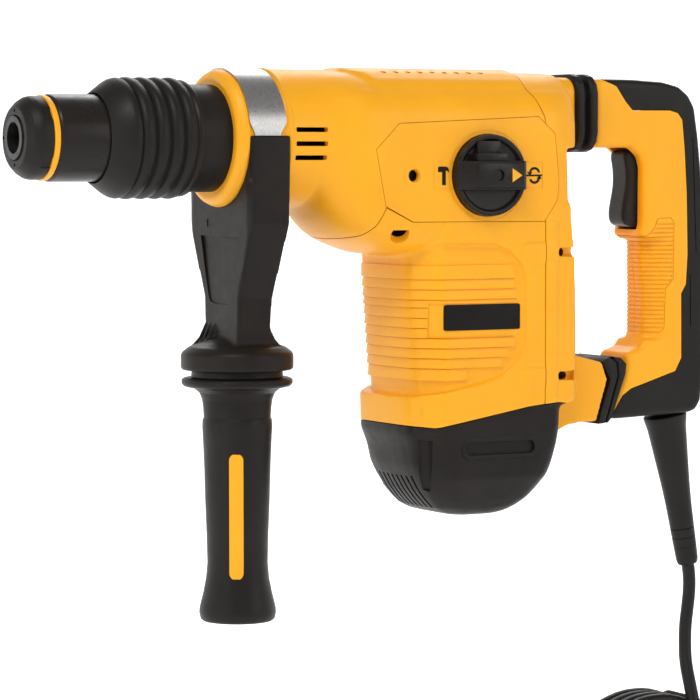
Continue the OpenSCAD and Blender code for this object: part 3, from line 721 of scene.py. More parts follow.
RIB_EDGES = (-84.2, -90.3, -96.4, -101.2, -107.4, -113.5, -119.6, -125.7, -131.8, -137.9, -145.3)
RIB_ENDS = (309, 309, 310.6, 310.7, 310.7, 310.7, 310.7, 309.3, 304.9, 300.6, 276)
PLATE = (260.4, 313.6, -115.2, -99.6)
GEAR_SEAM = [(322.2, 30.4), (325.7, 23.7), (328.3, 16), (329.6, 13)]
GEAR_ZONE = [
    (100, 60), (322.2, 60), *GEAR_SEAM, (329.6, -49.6), (237, -49.6), (219, -41), (213, -52), (208, -57.6),
    (199, -61), (185, -62.5), (170, -70), (100, -70)
]
SKIRT_SEAM = [(329.6, -161.5), (338, -160.8), (341, -160.8), (347, -161.6), (347.5, -240), (400, -240)]
REAR_ZONE = [(322.2, 60), *GEAR_SEAM, *SKIRT_SEAM, (400, 60)]
CAP_ZONE = [
    (200, -170.9), (226, -171), (254, -173.6), (280, -169.2), (318, -162.7), *SKIRT_SEAM[:-1], (347.5, -260),
    (200, -260)
]
PANEL = [
    (212.2, -6.6), (227.9, 8.7), (325.1, 13.2), (336.2, 2.8), (339.4, -25.4), (338.2, -36.9), (329, -49.9),
    (237.4, -49.5), (218.6, -40.1)
]
KNOB_AT = (288.5, -22.0)
SCREW_X, SCREW_Z = 238, -22.1
HAND_SLOT = (274, -190.6, 322.6, -182.8, 3.8)
# Each length of the channel down the cap's front corner: both ends as x, y, z and radius
CORNER_CHANNEL = [
    ((249.1, 38.5, -181.5, 5.4), (251.1, 35, -197.5, 4.9)), ((251.1, 35, -197.3, 4.9), (255.5, 27.6, -213.5, 3.6))
]
FIN_SLOTS, FIN_FIRST, FIN_STEP = 8, -19.6, 5.6
VENT_HEIGHTS = (5, -3.2, -11.4)
TOP_VENTS, TOP_VENT_X, TOP_VENT_STEP = 9, 233.2, 8.45


def through(stations, step=4.0):
    """Smooth steps through stations given as (place, list of points)."""
    out = []
    last = len(stations) - 1

    def slope(i):
        a, b = stations[max(0, i - 1)], stations[min(last, i + 1)]
        return [tuple((q - p) / (b[0] - a[0]) for p, q in zip(u, v)) for u, v in zip(a[1], b[1])]

    for i in range(last):
        (x0, p0), (x1, p1) = stations[i], stations[i + 1]
        m0, m1, h = slope(i), slope(i + 1), x1 - x0
        count = max(1, round(h / step))
        for k in range(count):
            t = k / count
            a, b, c, d = 2 * t**3 - 3 * t**2 + 1, t**3 - 2 * t**2 + t, -2 * t**3 + 3 * t**2, t**3 - t**2
            points = [
                tuple(a * u + b * h * v + c * w + d * h * z for u, v, w, z in zip(*group))
                for group in zip(p0, m0, p1, m1)
            ]
            out.append((x0 + h * t, points))
    out.append(stations[-1])
    return out


def upper_body():
    """The upper body from the barrel to its rear face."""
    stations = []
    for x, share, width, chin in UPPER_STATIONS:
        circle = [polar(BARREL_RADIUS, a) for a in BARREL_ANGLES]
        half = [tuple((1 - share) * c + share * f for c, f in zip(p, q)) for p, q in zip(circle, UPPER_HALF)]
        if chin:
            half[-3:] = chin
        stations.append((x, [(y * width, z) for y, z in half]))
    rings = []
    for x, half in through(stations):
        ring = corner_cut([*half, *[(-y, z) for y, z in reversed(half[1:-1])]])
        rings.append([(x, y, z) for y, z in ring])
    return loft("upper_body", rings)


BARREL = [
    (20, 125), (33.5, 125), (34.4, 124.4), (36.5, 124.6), (39, 126.5), (40.4, 129.5), (40.8, 131), (39.9, 131.2),
    (39.9, 157.5), (41.6, 157.9), (42, 158.6), (41.6, 159.4), (41, 160), (41, 206), (20, 206)
]


def barrel():
    """Flange, groove and ridge of the barrel in front of the body."""
    return lathe("barrel", BARREL, "X", (0, 0, 0), 180)


def plan_rings(name, rings, out=0.0):
    """Stack of plan sections with a narrow flat front and slanting flanks, moved outwards by out."""
    rows = []
    for z, front, flat, half, rear, cut, *more in rings:
        d = more[0] if more else out
        run = half - flat
        side = [
            (front - d, flat + 0.4 * d), (front + 0.5 * run, flat + 0.56 * run + d), (front + run, half + d - 0.4),
            (front + run + 6, half + d), (rear - cut, half + d), (rear - 0.3 * cut, half + d - 0.3 * cut),
            (rear, half + d - cut)
        ]
        ring = corner_cut([*[(x, -y) for x, y in side], *reversed(side)], 2)
        rows.append([(x, y, z) for x, y in ring])
    return loft(name, rows)


HUMP_PLAN = [
    (204, -6), (206, -10), (215, -22), (222, -36), (323, -36), (323, 36), (222, 36), (215, 22), (206, 10), (204, 6)
]
SKIRT = [
    (350, -131), (360, -132), (388, -139), (392, -150), (384, -175.8), (372, -176), (362, -177.6), (354, -181.4),
    (348.6, -184.8), (344, -168)
]


def body_blank():
    """The whole housing as one moulded solid, before its seams."""
    body = upper_body()
    hump = prism("hump", both(HUMP_HALF), "X", 206, 323)
    plan = prism("hump_plan", HUMP_PLAN, "Z", 20, 50)
    carve(hump, plan, "INTERSECT")
    column = plan_rings("column", COLUMN_RINGS)
    skirt = slab("skirt", SKIRT, 20)
    stub = prism("stub", rounded(-19.4, -5, 19.4, 38, 10), "X", 344, 367.8)
    merge("body", body, hump, column)
    mould(body, 1.4, 2)
    shape = slab("side_shape", SIDE_SHAPE)
    carve(body, shape, "INTERSECT")
    merge("body", body, stub, skirt)
    # Recess round the motor, as deep in front as at the sides
    pocket = slab("pocket", RECESS)
    core = plan_rings("pocket_core", CORE_RINGS)
    carve(pocket, core)
    carve(body, pocket)
    tabs = [slab("tab", rounded(313.4, z0, 338.6, z1, 3), 47.3) for z0, z1 in ((-74.2, -63.7), (-149.6, -139.3))]
    bead = slab("bead", rounded(330, -161, 337.8, -50.5, 1.5), 46.9)
    boss = plan_rings("boss", [(z, 240.4, 28, 46, 356, 8) for z in (-176, -158.4)], 1.1)
    carve(boss, slab("boss_shape", rounded(248.4, -177, 258.6, -158.6, 3.4)), "INTERSECT")
    merge("body", body, *tabs, bead, boss)
    mould(body, 1.05, 6)
    return body


def zone_cut(name, source, zone, gap):
    """The part of source inside this side-view zone, short of its seams by the gap."""
    piece = twin(source, name)
    tool = slab("zone", grow(zone, -gap), 80)
    return carve(piece, tool, "INTERSECT")


def rib_band():
    """Stepped ribs round the motor: each leans out to its lower edge."""
    high = bpy.context.scene.hammer_sizes.rib_height / MM
    rings, top = [], -70.0
    for low in RIB_EDGES:
        for z, p in ((top, -0.6), (top - 0.5, 0.2), (low + 0.6, high), (low + 0.1, high - 0.15), (low, high - 0.5)):
            front = 241.2 - 5.8 * (z + 70) / 78
            rings.append((z, front, 27, RECESS_HALF, 360, 4, p))
        top = low - 0.02
    band = plan_rings("ribs", rings)
    keep = []
    for i, (low, end) in enumerate(zip(RIB_EDGES, RIB_ENDS)):
        over = -76 if i == 0 else RIB_EDGES[i - 1]
        right = end if not (low < -99 and over > -115.5) else 252.5
        low_z, high_z = low - 0.01, over + 0.01
        keep.append(slab("rib_keep", [(200, low_z), (right, low_z), (right, high_z), (200, high_z)]))
        if right < end and low > -101.5:
            keep.append(slab("rib_keep", [(252, over), (end, over), (end, -98.8), (252, -98.8)]))
    mask = keep[0]
    for k in keep[1:]:
        carve(mask, k, "UNION")
    carve(band, mask, "INTERSECT")
    core = [(250, -20), (262, -38.5), (400, -38.5), (400, 38.5), (262, 38.5), (250, 20)]
    carve(band, prism("inside", core, "Z", -200, -20))
    return band


def panel_bed(side):
    """The space that a side panel takes up in the covers."""
    return prism("panel_bed", grow(PANEL, 0.35), "Y", *outward(side, 43.2))


FIN_SLOT = [
    (247, -206), (252.2, -203.2), (257.6, -211.6), (262.4, -217.2), (266.8, -221.6), (264, -230), (250, -220)
]


class HammerCovers(bpy.types.Operator):
    """Add the gear, rear and motor covers and the end cap, split from one moulded body"""

    bl_idname = "hammer.covers"
    bl_label = "Covers"

    def execute(self, context):
        gap = context.scene.hammer_sizes.seam / MM
        blank = body_blank()
        shells = twin(blank, "shells")
        front = barrel()
        mould(front, 0.9, 2)
        hollow(shells, 4.2)

        gear = zone_cut("gear_shell", shells, GEAR_ZONE, gap)
        carve(gear, front, "UNION")
        carve(gear, rod("bore", (131, 0, 0), (212, 0, 0), 36.5, steps=96))
        for z in VENT_HEIGHTS:
            carve(gear, slab("vent", rounded(161.5, z - 1.4, 182.5, z + 1.4, 0.6)))
        for side in (-1, 1):
            carve(gear, panel_bed(side))
            carve(
                gear, rod("screw_way", (SCREW_X, side * FAR, SCREW_Z), (SCREW_X, side * 34, SCREW_Z), 3.6, steps=32)
            )
            for k in range(TOP_VENTS):
                x = TOP_VENT_X + TOP_VENT_STEP * k
                carve(gear, rod("top_vent", (x - 3.2, side * 20, 40.6), (x + 2.6, side * 20, 34.4), 1.5, steps=12))
        finish_piece(gear, "housing", "yellow", "gear_cover")

        rear = zone_cut("rear_shell", shells, REAR_ZONE, gap)
        for side in (-1, 1):
            carve(rear, panel_bed(side))
        carve(rear, prism("upper_neck", rounded(-14.6, 0, 14.6, 35.4, 6), "X", 350, 380))
        carve(rear, slab("lower_neck", [(374, -143), (420, -143), (420, -168), (374, -162)], 12.5))
        for side in (-1, 1):
            for z in (-69, -144.5):
                carve(rear, rod("screw_way", (338.6, side * 43.6, z), (352, side * 43.6, z), 3.4, steps=24))
        finish_piece(rear, "housing", "yellow", "rear_cover")

        cap = zone_cut("cap_shell", shells, CAP_ZONE, gap)
        for side in (-1, 1):
            carve(cap, prism("hand_slot", rounded(*HAND_SLOT), "Y", *outward(side, 43.6)))
            for (x0, y0, z0, r0), (x1, y1, z1, r1) in CORNER_CHANNEL:
                carve(cap, rod("corner_channel", (x0, side * y0, z0), (x1, side * y1, z1), r0, r1))
        for k in range(FIN_SLOTS):
            y = FIN_FIRST + FIN_STEP * k
            fin_gap = prism("fin_gap", FIN_SLOT, "Y", y - 1, y + 1)
            carve(cap, fin_gap)
        for side in (-1, 1):
            rim = prism("rim", rounded(271.2, -193, 325.4, -180.4, 5.6), "Y", *outward(side, 43, 45.9))
            carve(rim, slab("inside", rounded(*HAND_SLOT)))
            bevel(rim, 0.7)
            carve(cap, rim, "UNION")
        finish_piece(cap, "housing", "black", "bottom_cap")

        motor = twin(shells, "motor_shell")
        for zone in (GEAR_ZONE, REAR_ZONE, CAP_ZONE):
            carve(motor, slab("zone", grow(zone, gap), 80))
        for side in (-1, 1):
            carve(motor, panel_bed(side))
        carve(motor, rib_band(), "UNION")
        for side in (-1, 1):
            scoop = rod("scoop", (231.2, side * 39.5, -52), (226.5, side * 50.5, -68), 5.2, 7.2)
            carve(scoop, block("under", 210, 250, -60, 60, -90, -54.4), "INTERSECT")
            carve(motor, scoop)
        finish_piece(motor, "housing", "yellow", "motor_housing")
        bpy.data.objects.remove(shells)

        x0, x1, z0, z1 = PLATE
        for side, node, plate_name in (
                (-1, "side_panel_left", "plate_left"), (1, "side_panel_right", "plate_right")
        ):
            panel = twin(blank, node + "_face")
            carve(panel, prism("panel_shape", PANEL, "Y", *outward(side, 43.4)), "INTERSECT")
            seat = [(r, side * y) for r, y in ((0, 40), (3.5, 40), (3.5, 44.2), (4.6, 47), (0, 47))]
            hole = lathe("screw_hole", seat, "Y", (SCREW_X, 0, SCREW_Z), 40)
            carve(panel, hole)
            if side < 0:
                kx, kz = KNOB_AT
                carve(panel, rod("knob_way", (kx, -60, kz), (kx, -42, kz), 24.9, steps=96))
                groove = [(26.7, -45.7), (27.3, -45.7), (27.5, -47), (26.5, -47)]
                carve(panel, lathe("ring", groove, "Y", (kx, 0, kz)))
                for a, b, c, d in ((250.9, -30.2, 266, -14.3), (310, -30, 327.5, -13.8)):
                    frame_line = prism("frame_line", [(a, b), (c, b), (c, d), (a, d)], "Y", -47, -45.75)
                    a, b, c, d = a + 0.5, b + 0.5, c - 0.5, d - 0.5
                    carve(frame_line, prism("inside", [(a, b), (c, b), (c, d), (a, d)], "Y", -48, -45))
                    carve(panel, frame_line)
            finish_piece(panel, "housing", "yellow", node)
            plate = prism(plate_name, rounded(x0, z0, x1, z1, 1.4), "Y", *outward(side, 41.5, 43.1))
            bevel(plate, 0.3)
            finish_piece(plate, "housing", "ink")
        bpy.data.objects.remove(blank)
        return {"FINISHED"}


# Depth of the signs, from just under the panel to just proud of it
SIGN_DEPTH = (-46.22, -45.6)


KNOB = [(0, -49.3), (20.5, -49.3), (22, -51), (24.5, -51), (24.5, -43.6), (6, -43.6), (6, -41.2), (0, -41.2)]
KNOB_BAR = [
    (264.4, -44), (264.4, -50.6), (267, -52.6), (270.4, -55.2), (273.6, -57.4), (276.5, -58), (306.8, -57.6),
    (308.6, -56.8), (311.6, -53), (312.2, -51), (312.4, -44)
]
HAMMER_SIGN = [
    (254, -17.2), (254.6, -16.7), (259.4, -16.7), (260.8, -17.4), (261.8, -19.6), (261.2, -20), (260.2, -19.2),
    (259.3, -19.2), (259.3, -27.8), (256.8, -27.8), (256.8, -20), (254, -20)
]
TURN_SIGN = [
    (313.4, -21.6), (314.4, -20.8), (315.6, -21.7), (327, -21.7), (327, -22.7), (315.6, -22.7), (314.4, -23.6),
    (313.4, -22.8)
]


class HammerKnob(bpy.types.Operator):
    """Add the selector knob and the two signs beside it"""

    bl_idname = "hammer.knob"
    bl_label = "Selector knob"

    def execute(self, context):
        kx, kz = KNOB_AT
        knob = lathe("selector_knob", fillet(KNOB, 0.5), "Y", (kx, 0, kz), 96)
        bar = prism("bar", KNOB_BAR, "Z", kz - 8.6, kz + 8.6)
        carve(bar, rod("round", (kx, -70, kz), (kx, -40, kz), 24.3, steps=96), "INTERSECT")
        for side in (-1, 1):
            z0, z1 = kz + side * 7.2, kz + side * 10
            lip = prism("lip", [(268.5, z0), (307, z0), (307, z1), (268.5, z1)], "Y", -60, -56.9)
            carve(bar, lip)
        bevel(bar, 0.7, 2, 40)
        latch = prism("latch", rounded(275.5, -13.6, 297, -8.8, 0.8), "Y", -56, -48)
        bevel(latch, 0.5)
        tab = prism("tab", rounded(278, -9.4, 294, -1.4, 1), "Y", -52.6, -48)
        bevel(tab, 0.5)
        for part in (bar, latch, tab):
            carve(knob, part, "UNION")
        carve(knob, rod("pin_mark", (kx + 1.2, -59, kz), (kx + 1.2, -56.2, kz), 3.6, steps=40))
        carve(knob, rod("cam_way", (kx, -42, kz), (kx, -41, kz), 2, steps=16))
        finish_piece(knob, "knob", "satin", "mode_knob")
        head = [(kx + 10.4, kz + 4.1), (kx + 17.2, kz), (kx + 10.4, kz - 4.1)]
        arrow = prism("knob_arrow", head, "Y", -57.95, -57)
        finish_piece(arrow, "knob", "yellow")

        hammer = prism("hammer_sign", HAMMER_SIGN, "Y", *SIGN_DEPTH)
        finish_piece(hammer, "housing", "ink")
        turn = prism("turn_sign", TURN_SIGN, "Y", *SIGN_DEPTH)
        marks = []
        for top in (1, -1):
            sweeps = ((3.9, range(160, 9, -15)), (2.5, range(10, 161, 15)))
            arc = [polar(r, a) for r, steps in sweeps for a in steps]
            marks.append([(321.6 + x, -22.2 + 1.2 * top + z * top) for x, z in arc])
            tip = [(-5.1, 0.9), (-1.7, 0.9), (-3.4, -1.5)] if top > 0 else [(5.1, -0.9), (1.7, -0.9), (3.4, 1.5)]
            marks.append([(321.6 + x, -22.2 + 1.2 * top + z) for x, z in tip])
        for mark in marks:
            carve(turn, prism("mark", mark, "Y", *SIGN_DEPTH), "UNION")
        finish_piece(turn, "housing", "ink")
        return {"FINISHED"}


NOSE = [
    (12.6, 1.4), (13.4, 0.8), (17.6, 0.8), (18.8, 1.6), (21.6, 4.4), (23.4, 7.4), (24, 9.8), (24, 15.6),
    (12.6, 15.6)
]
COLLAR = [(20.2, 19.3), (24.1, 19.3), (25.2, 21), (25.3, 63.8), (20.2, 63.8)]
SLEEVE_LIP = [(25.7, 50.4), (26.4, 49.8), (27.2, 50.4), (33.0, 58.4), (34.6, 61.3), (35.1, 63.6), (34.9, 65.0)]


class HammerChuck(bpy.types.Operator):
    """Add the nose, its ring, the collar and the ribbed release sleeve"""

    bl_idname = "hammer.chuck"
    bl_label = "Chuck"

    def execute(self, context):
        nose = lathe("nose", fillet(NOSE, 0.5), "X", (0, 0, 0), 144)
        for k in range(5):
            notch = prism("notch", rounded(-4.2, 22.9, 4.2, 27, 0.7), "X", 9.6, 17)
            notch.data.transform(Matrix.Rotation(math.radians(126 + 72 * k), 4, "X"))
            carve(nose, notch)
        for angle in (0, 180, 270):
            hole = rod("hole", (0, 0, 15.6), (3.5, 0, 15.6), 1.1, steps=16)
            hole.data.transform(Matrix.Rotation(math.radians(angle), 4, "X"))
            carve(nose, hole)
        finish_piece(nose, "spindle", "rubber", "nose_cap")
        ring = lathe(
            "ring", fillet([(20.2, 15.75), (24.6, 15.75), (24.6, 19.2), (20.2, 19.2)], 0.7), "X", (0, 0, 0), 144
        )
        finish_piece(ring, "spindle", "yellow", "nose_ring")
        collar = lathe("collar", fillet(COLLAR, 0.7), "X", (0, 0, 0), 144)
        finish_piece(collar, "spindle", "satin", "front_collar")

        outline = SLEEVE_LIP
        for start, end in ((65.4, 75), (75, 84), (84, 93), (93, 101.6)):
            width = end - start
            outline += [
                (33.3, start + 0.5), (33.2, start + 1.2), (34.6, start + 2.1), (35.4, start + 0.4 * width),
                (35.5, start + 0.55 * width), (34.9, end - 1.5), (33.9, end - 0.4)
            ]
        outline += [
            (33.2, 102.2), (33.9, 103.4), (34.2, 104.6), (33.6, 105.8), (32.2, 106), (32.2, 84), (20.7, 84),
            (20.7, 65), (25.7, 65)
        ]
        sleeve = lathe("sleeve_skin", outline, "X", (0, 0, 0), 144)
        finish_piece(sleeve, "sleeve", "rubber", "release_sleeve", angle=50)
        return {"FINISHED"}


SIDE_X = 143
STRIPE = [(20.1, -186), (19.7, -195), (19.2, -215), (18.4, -235), (18, -252), (18.6, -260)]


ARM_HALF = [(41.8, 1.5), (41.6, -18), (40.4, -50), (22.6, -94), (21, -126)]
ARM_SIDE = [
    (131.4, 1.5), (157.3, 1.5), (157.3, -49), (154.5, -106), (154.5, -126), (132.4, -126), (132.4, -94),
    (131.4, -50)
]
FLANGE = [
    (0, -112), (8, -112), (12, -117.6), (20, -120.8), (28.6, -123.2), (32.6, -126.2), (33.5, -127.8),
    (33.5, -135.8), (32.5, -136.9), (0, -136.9)
]
FRONT_FIN = [(134, -109), (131, -111), (127.5, -118), (121.5, -124), (134, -124)]
BACK_FIN = [(152, -109), (155.4, -112), (159, -118.5), (164, -124), (152, -124)]
ARM_WINDOW = [
    (25.5, -56.5), (25.5, -58), (-25.5, -58), (-25.5, -56.5), (-17, -93), (-13.5, -98), (13.5, -98), (17, -93)
]
GRIP_ROOT = [
    (4.4, -141.6), (31.5, -141.6), (33, -142.6), (33, -145), (31.6, -146.6), (26, -147.8), (22.6, -150.4),
    (20.9, -154.6), (20.2, -160), (19.6, -171), (4.4, -171)
]
GRIP = [
    (0, -165), (19.7, -165), (20.6, -166.6), (20.8, -171), (20.3, -180), (19.7, -195), (19.2, -215), (18.4, -235),
    (18, -252), (18.8, -261), (20.4, -269.4), (21.8, -275), (22.8, -279.4), (22.9, -282), (22.1, -285.4),
    (20.6, -286.6), (0, -286.6)
]


class HammerSideHandle(bpy.types.Operator):
    """Add the side handle's arm with its flange, the damper and the grip"""

    bl_idname = "hammer.side_handle"
    bl_label = "Side handle"

    def execute(self, context):
        arm = prism("arm", both(ARM_HALF), "X", 131.4, 157.3)
        side = slab("side", ARM_SIDE)
        carve(arm, side, "INTERSECT")
        # Front flanks fall back from the flat side faces
        for s in (-1, 1):
            flank = prism("flank", [(130, s * 30), (133.2, s * 43), (130, s * 44)], "Z", -140, -24)
            carve(arm, flank)
        flange = lathe("flange", FLANGE, "Z", (SIDE_X, 0, 0), 96)
        fins = [prism("fin", FRONT_FIN, "Y", y - 1.1, y + 1.1) for y in (9, 14.2, 19.4)]
        fins += [prism("fin", BACK_FIN, "Y", y - 1.1, y + 1.1) for y in (-18.5, -13, 13, 18.5)]
        merge("arm", arm, flange, *fins)
        mould(arm, 0.95, 4)
        carve(arm, rod("barrel_way", (110, 0, 0), (180, 0, 0), 40.35, steps=160))
        window = prism("window", corner_cut(ARM_WINDOW, 1), "X", 120, 133.2)
        carve(arm, window)
        carve(arm, prism("mark", rounded(6, -52.4, 16.5, -48, 0.6), "X", 120, 131.9))
        finish_piece(arm, "side_handle", "black", "handle_base")

        damper = lathe(
            "damper", fillet([(6, -137), (27, -137), (27.4, -141.4), (6, -141.4)], 0.6), "Z", (SIDE_X, 0, 0), 96
        )
        finish_piece(damper, "side_handle", "rubber", "handle_damper")
        core = lathe("grip_root", fillet(GRIP_ROOT, 0.6), "Z", (SIDE_X, 0, 0), 96)
        finish_piece(core, "side_grip", "black", "grip_core")
        outline = GRIP
        grip = lathe("grip_skin", outline, "Z", (SIDE_X, 0, 0), 96)
        finish_piece(grip, "side_grip", "rubber", "grip_sleeve", angle=40)
        outside = [(r + 0.3, z) for r, z in STRIPE]
        stripe = lathe("grip_stripe", [(17, -186), *outside, (17, -260)], "Z", (SIDE_X, 0, 0), 96)
        window = prism("window", rounded(-4.2, -260.5, 4.2, -185.5, 4), "Y", -40, 0)
        turn = Matrix.Translation((SIDE_X * MM, 0, 0)) @ Matrix.Rotation(math.atan2(-0.4809, 0.8748), 4, "Z")
        window.data.transform(turn)
        carve(stripe, window, "INTERSECT")
        finish_piece(stripe, "side_grip", "yellow")
        return {"FINISHED"}


# The upper bellows: place of each ring along X and how far it stands out
UPPER_BOOT = [
    (367.6, 0.6), (368.1, 2.2), (369.1, 3.2), (372.6, 3.3), (373.8, 2.4), (374.6, -0.8), (375.8, -1.8), (377, -0.8),
    (377.8, 2.2), (378.9, 3.2), (382.2, 3.1), (383.3, 2.2), (384.0, 0.6)
]
# Where the cord's boot leaves the handle
BOOT_TOP = (448.5, 0, -174)
BOOT = [(0, -8), (9, -8), (9, 0.6), (14, 1.2), (13.6, 4), (12.4, 10), (10.6, 30), (9.2, 46), (8.3, 60)]
PALM_EDGE = [(412, 20), (412, 3), (421.6, 4.5), (425.5, 9.5), (430, 13.2), (435.5, 15.8), (442, 17.3), (442, 20)]
HANDLE = [
    (383.8, 37.4), (413, 37.2), (436, 35.9), (448, 33.2), (455.5, 27.6), (460, 20), (463, 1.5), (467, -34),
    (468, -70), (467.4, -112), (468, -145), (466, -166), (462, -172), (456, -173.6), (430, -174.4), (398, -175.6),
    (396, -172), (399.5, -165), (409, -141.6), (408, -134.5), (419, -131), (424.6, -123), (425.4, -100),
    (423.6, -78), (423.6, -64), (417.4, -59.6), (420.2, -54.4), (420.4, -18), (418.4, -11), (412, -5.4),
    (383.8, -5.4)
]
SOFT_ZONE = [
    (391, 60), (390.2, 37), (399.8, 33), (406.7, 23.6), (412, 18.1), (440.1, 18.2), (446, 16.6), (449.5, 12.3),
    (451.4, -5), (453.3, -34), (454.2, -72.8), (453, -91.6), (449.5, -97.5), (449.8, -138.3), (445.2, -146.6),
    (411.8, -156.6), (405.7, -160.6), (397.8, -172.9), (396, -190), (500, -190), (500, 60)
]
GRIP_ZONE = [
    (404, -61.6), (423.3, -60.8), (428.5, -56), (431.3, -49.8), (440.6, -49.4), (443.5, -52.3), (443, -88),
    (437.7, -94), (436.8, -119.3), (433.8, -121.7), (404, -120.4)
]
TRIGGER = [
    (411, -8.5), (416, -6.6), (430, -6.6), (432, -50), (427, -55.4), (415, -55.4), (410.4, -52), (410.2, -44),
    (413.4, -30), (413.4, -20)
]
LOWER_BOOT = [
    (388.4, -139), (394, -135.4), (402, -136.6), (406.4, -140.6), (405.6, -147), (395.6, -174), (392.6, -177),
    (385.6, -177.6), (387.6, -170), (394.6, -150)
]
LOWER_GROOVE = [
    (391.6, -134), (398.6, -140), (399.6, -148), (389.6, -180), (390.8, -180), (401, -148), (400.2, -139.4),
    (394, -134)
]


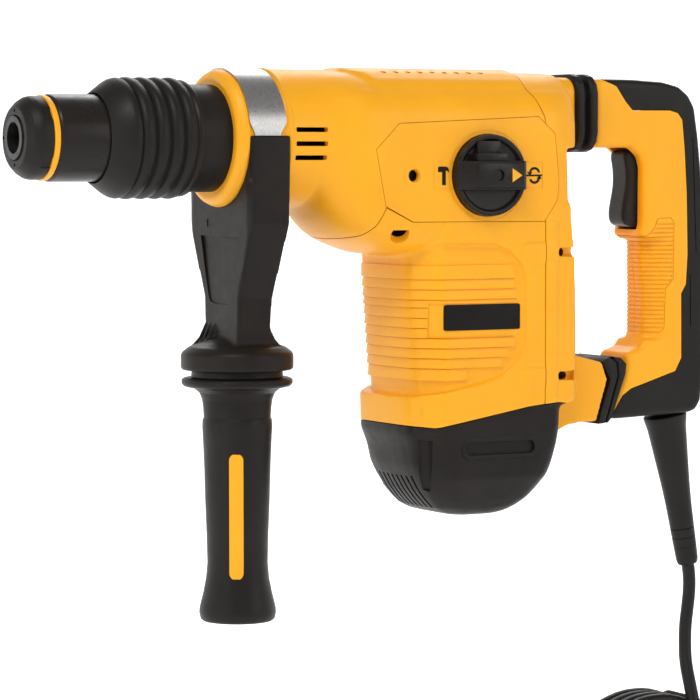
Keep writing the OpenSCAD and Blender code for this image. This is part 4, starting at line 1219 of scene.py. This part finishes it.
class HammerRearHandle(bpy.types.Operator):
    """Add the rear handle's halves, its soft back, the trigger, the bellows and the cord's boot"""

    bl_idname = "hammer.rear_handle"
    bl_label = "Rear handle"

    def execute(self, context):
        blank = slab("handle", HANDLE, 17)
        bevel(blank, 7, 4, 60)
        for side in (-1, 1):
            edge = [(x, side * y) for x, y in PALM_EDGE]
            carve(blank, prism("palm_edge", edge, "Z", -126, -63))
        stub = prism("upper_stub", rounded(-12, 2, 12, 34, 4), "X", 371, 402)
        lower = slab("lower_stub", [(385, -145), (412, -143), (412, -167), (385, -163)], 9)
        lug = rod("lug", (378, -9, -154), (378, 9, -154), 9)
        merge("handle", blank, stub, lower, lug)
        mould(blank, 1.15, 12)
        skin = twin(blank, "skin")
        inset = skin.modifiers.new("Inset", "DISPLACE")
        inset.strength, inset.mid_level = -0.5 * MM, 0
        apply(skin, inset)
        grooves = []
        for k in range(26):
            z0, z1 = -53.4 - 2.72 * k - 0.5, -53.4 - 2.72 * k + 0.5
            grooves.append(slab("groove", [(400, z0), (446, z0), (446, z1), (400, z1)], 20))
        ribs = merge("grooves", *grooves)
        carve(ribs, slab("zone", grow(GRIP_ZONE, -0.8), 30), "INTERSECT")
        edge = slab("edge", grow(GRIP_ZONE, 0.3), 30)
        carve(edge, slab("inside", grow(GRIP_ZONE, -0.3), 31))
        backs = []
        for x, z0, z1, lean in ((457, 1, -71, 3.0), (455.6, -86, -118, 0.6)):
            backs.append(slab("back_line", [(x, z0), (x + 0.8, z0), (x + 0.8 + lean, z1), (x + lean, z1)], 20))
        solid = twin(blank, "solid")
        hollow(solid, 3.2, 2.2)
        for tool in (ribs, edge, *backs):
            carve(tool, skin, keep=True)
            carve(solid, tool)
        bpy.data.objects.remove(skin)
        carve(solid, block("trigger_way", 405, 438, -10.4, 10.4, -56.8, -3))
        carve(solid, rod("pin_way", (378, -30, -154), (378, 30, -154), 4.4))
        soft = twin(solid, "soft_back")
        carve(soft, slab("soft_zone", grow(SOFT_ZONE, -0.25), 40), "INTERSECT")
        carve(solid, slab("soft_zone", grow(SOFT_ZONE, 0.25), 40))
        finish_piece(soft, "rear_handle", "rubber", "handle_overmould")
        for node, y0, y1 in (("handle_left", -30, -0.12), ("handle_right", 0.12, 30)):
            half = twin(solid, node + "_shell")
            carve(half, block("half", 360, 500, y0, y1, -200, 60), "INTERSECT")
            finish_piece(half, "rear_handle", "yellow", node)
        bpy.data.objects.remove(solid)
        bpy.data.objects.remove(blank)

        trigger = slab("trigger_lever", corner_cut(TRIGGER, 2), 9.6)
        bevel(trigger, 3.4, 4, 60)
        mould(trigger, 0.7, 6)
        carve(trigger, rod("pin_way", (432, -20, -10), (432, 20, -10), 2.3))
        finish_piece(trigger, "trigger", "satin", "trigger")

        rings = []
        for x, g in UPPER_BOOT:
            rings.append([(x, y, z) for y, z in rounded(-19 - g, -5 - g, 19 + g, 37 + g, 10 + 0.6 * g, 3)])
        upper = loft("upper_boot", rings)
        carve(upper, prism("way", rounded(-14.2, -0.6, 14.2, 36, 4), "X", 360, 398))
        bevel(upper, 0.6, 2, 25)
        self.soften(upper, "upper_bellows", (0.368, 0, 0.016), (0.384, 0, 0.016))
        lower = slab("lower_boot", LOWER_BOOT, 19.8)
        band = slab("band", LOWER_GROOVE, 25)
        carve(band, slab("inside", grow(LOWER_BOOT, -1.5), 18.2))
        carve(lower, band)
        carve(lower, slab("way", [(370, -142.5), (420, -142.5), (420, -168.5), (370, -168.5)], 12.2))
        bevel(lower, 0.9, 2, 30)
        self.soften(lower, "lower_bellows", (0.386, 0, -0.154), (0.402, 0, -0.154))

        top, end = Vector(BOOT_TOP), Vector(CORD_EXIT)
        run = (end - top).length
        profile = [*BOOT, (7.5, run - 16), (7, run - 3), (6.2, run), (0, run)]
        boot = lathe("strain_boot", fillet(profile, 1.2), "Z", (0, 0, 0), 64)
        for k in range(3):
            z = run - 12 - 6 * k
            groove = lathe("groove", [(7.0, z), (9.6, z - 0.9), (9.6, z + 0.9)], "Z", (0, 0, 0), 64)
            carve(boot, groove)
        lay = Matrix.Translation(top * MM) @ (end - top).to_track_quat("Z", "Y").to_matrix().to_4x4()
        boot.data.transform(lay)
        finish_piece(boot, "rear_handle", "rubber", "strain_relief", angle=45)
        return {"FINISHED"}

    def soften(self, obj, node, start, end):
        """Gives the bellows smooth shading and the rubber finish, hides their CAD node and bakes their place into the
        mesh.
        """
        pick(obj)
        bpy.ops.object.shade_smooth_by_angle(angle=math.radians(40))
        obj.data.materials.clear()
        obj.data.materials.append(finish_of("rubber"))
        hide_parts(node)
        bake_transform(obj)


# ---- Sidebar and run ----
PIECES = (HammerStage, HammerChuck, HammerSideHandle, HammerCovers, HammerKnob, HammerRearHandle, HammerCord)


class HammerPanel(bpy.types.Panel):
    """Build steps of the demolition hammer"""

    bl_idname = "VIEW3D_PT_hammer"
    bl_label = "Demolition Hammer"
    bl_space_type = "VIEW_3D"
    bl_region_type = "UI"
    bl_category = "Hammer"

    def draw(self, context):
        for kind in (HammerColours, HammerSizes):
            settings = getattr(context.scene, SETTINGS[kind])
            for name in kind.__annotations__:
                self.layout.prop(settings, name)
        for piece in PIECES:
            self.layout.operator(piece.bl_idname)


SETTINGS = {HammerColours: "hammer_colours", HammerSizes: "hammer_sizes"}
CLASSES = (*SETTINGS, *PIECES, HammerPanel)


def register():
    for kind in CLASSES:
        bpy.utils.register_class(kind)
    for kind, name in SETTINGS.items():
        setattr(bpy.types.Scene, name, bpy.props.PointerProperty(type=kind))


def unregister():
    for name in SETTINGS.values():
        delattr(bpy.types.Scene, name)
    for kind in reversed(CLASSES):
        bpy.utils.unregister_class(kind)


def paint_frame():
    """Finish of every CAD node that stays in sight."""
    slots = {part["node"]: part["material_slot"] for part in frame["record"]["subparts"]}
    for name, node in frame["nodes"].items():
        material = finish_of(SLOT_FINISHES[slots[name]])
        node.data.materials.clear()
        node.data.materials.append(material)


def main():
    register()
    paint_frame()
    for piece in PIECES:
        group, name = piece.bl_idname.split(".")
        getattr(getattr(bpy.ops, group), name)()


if __name__ == "__main__":
    main()
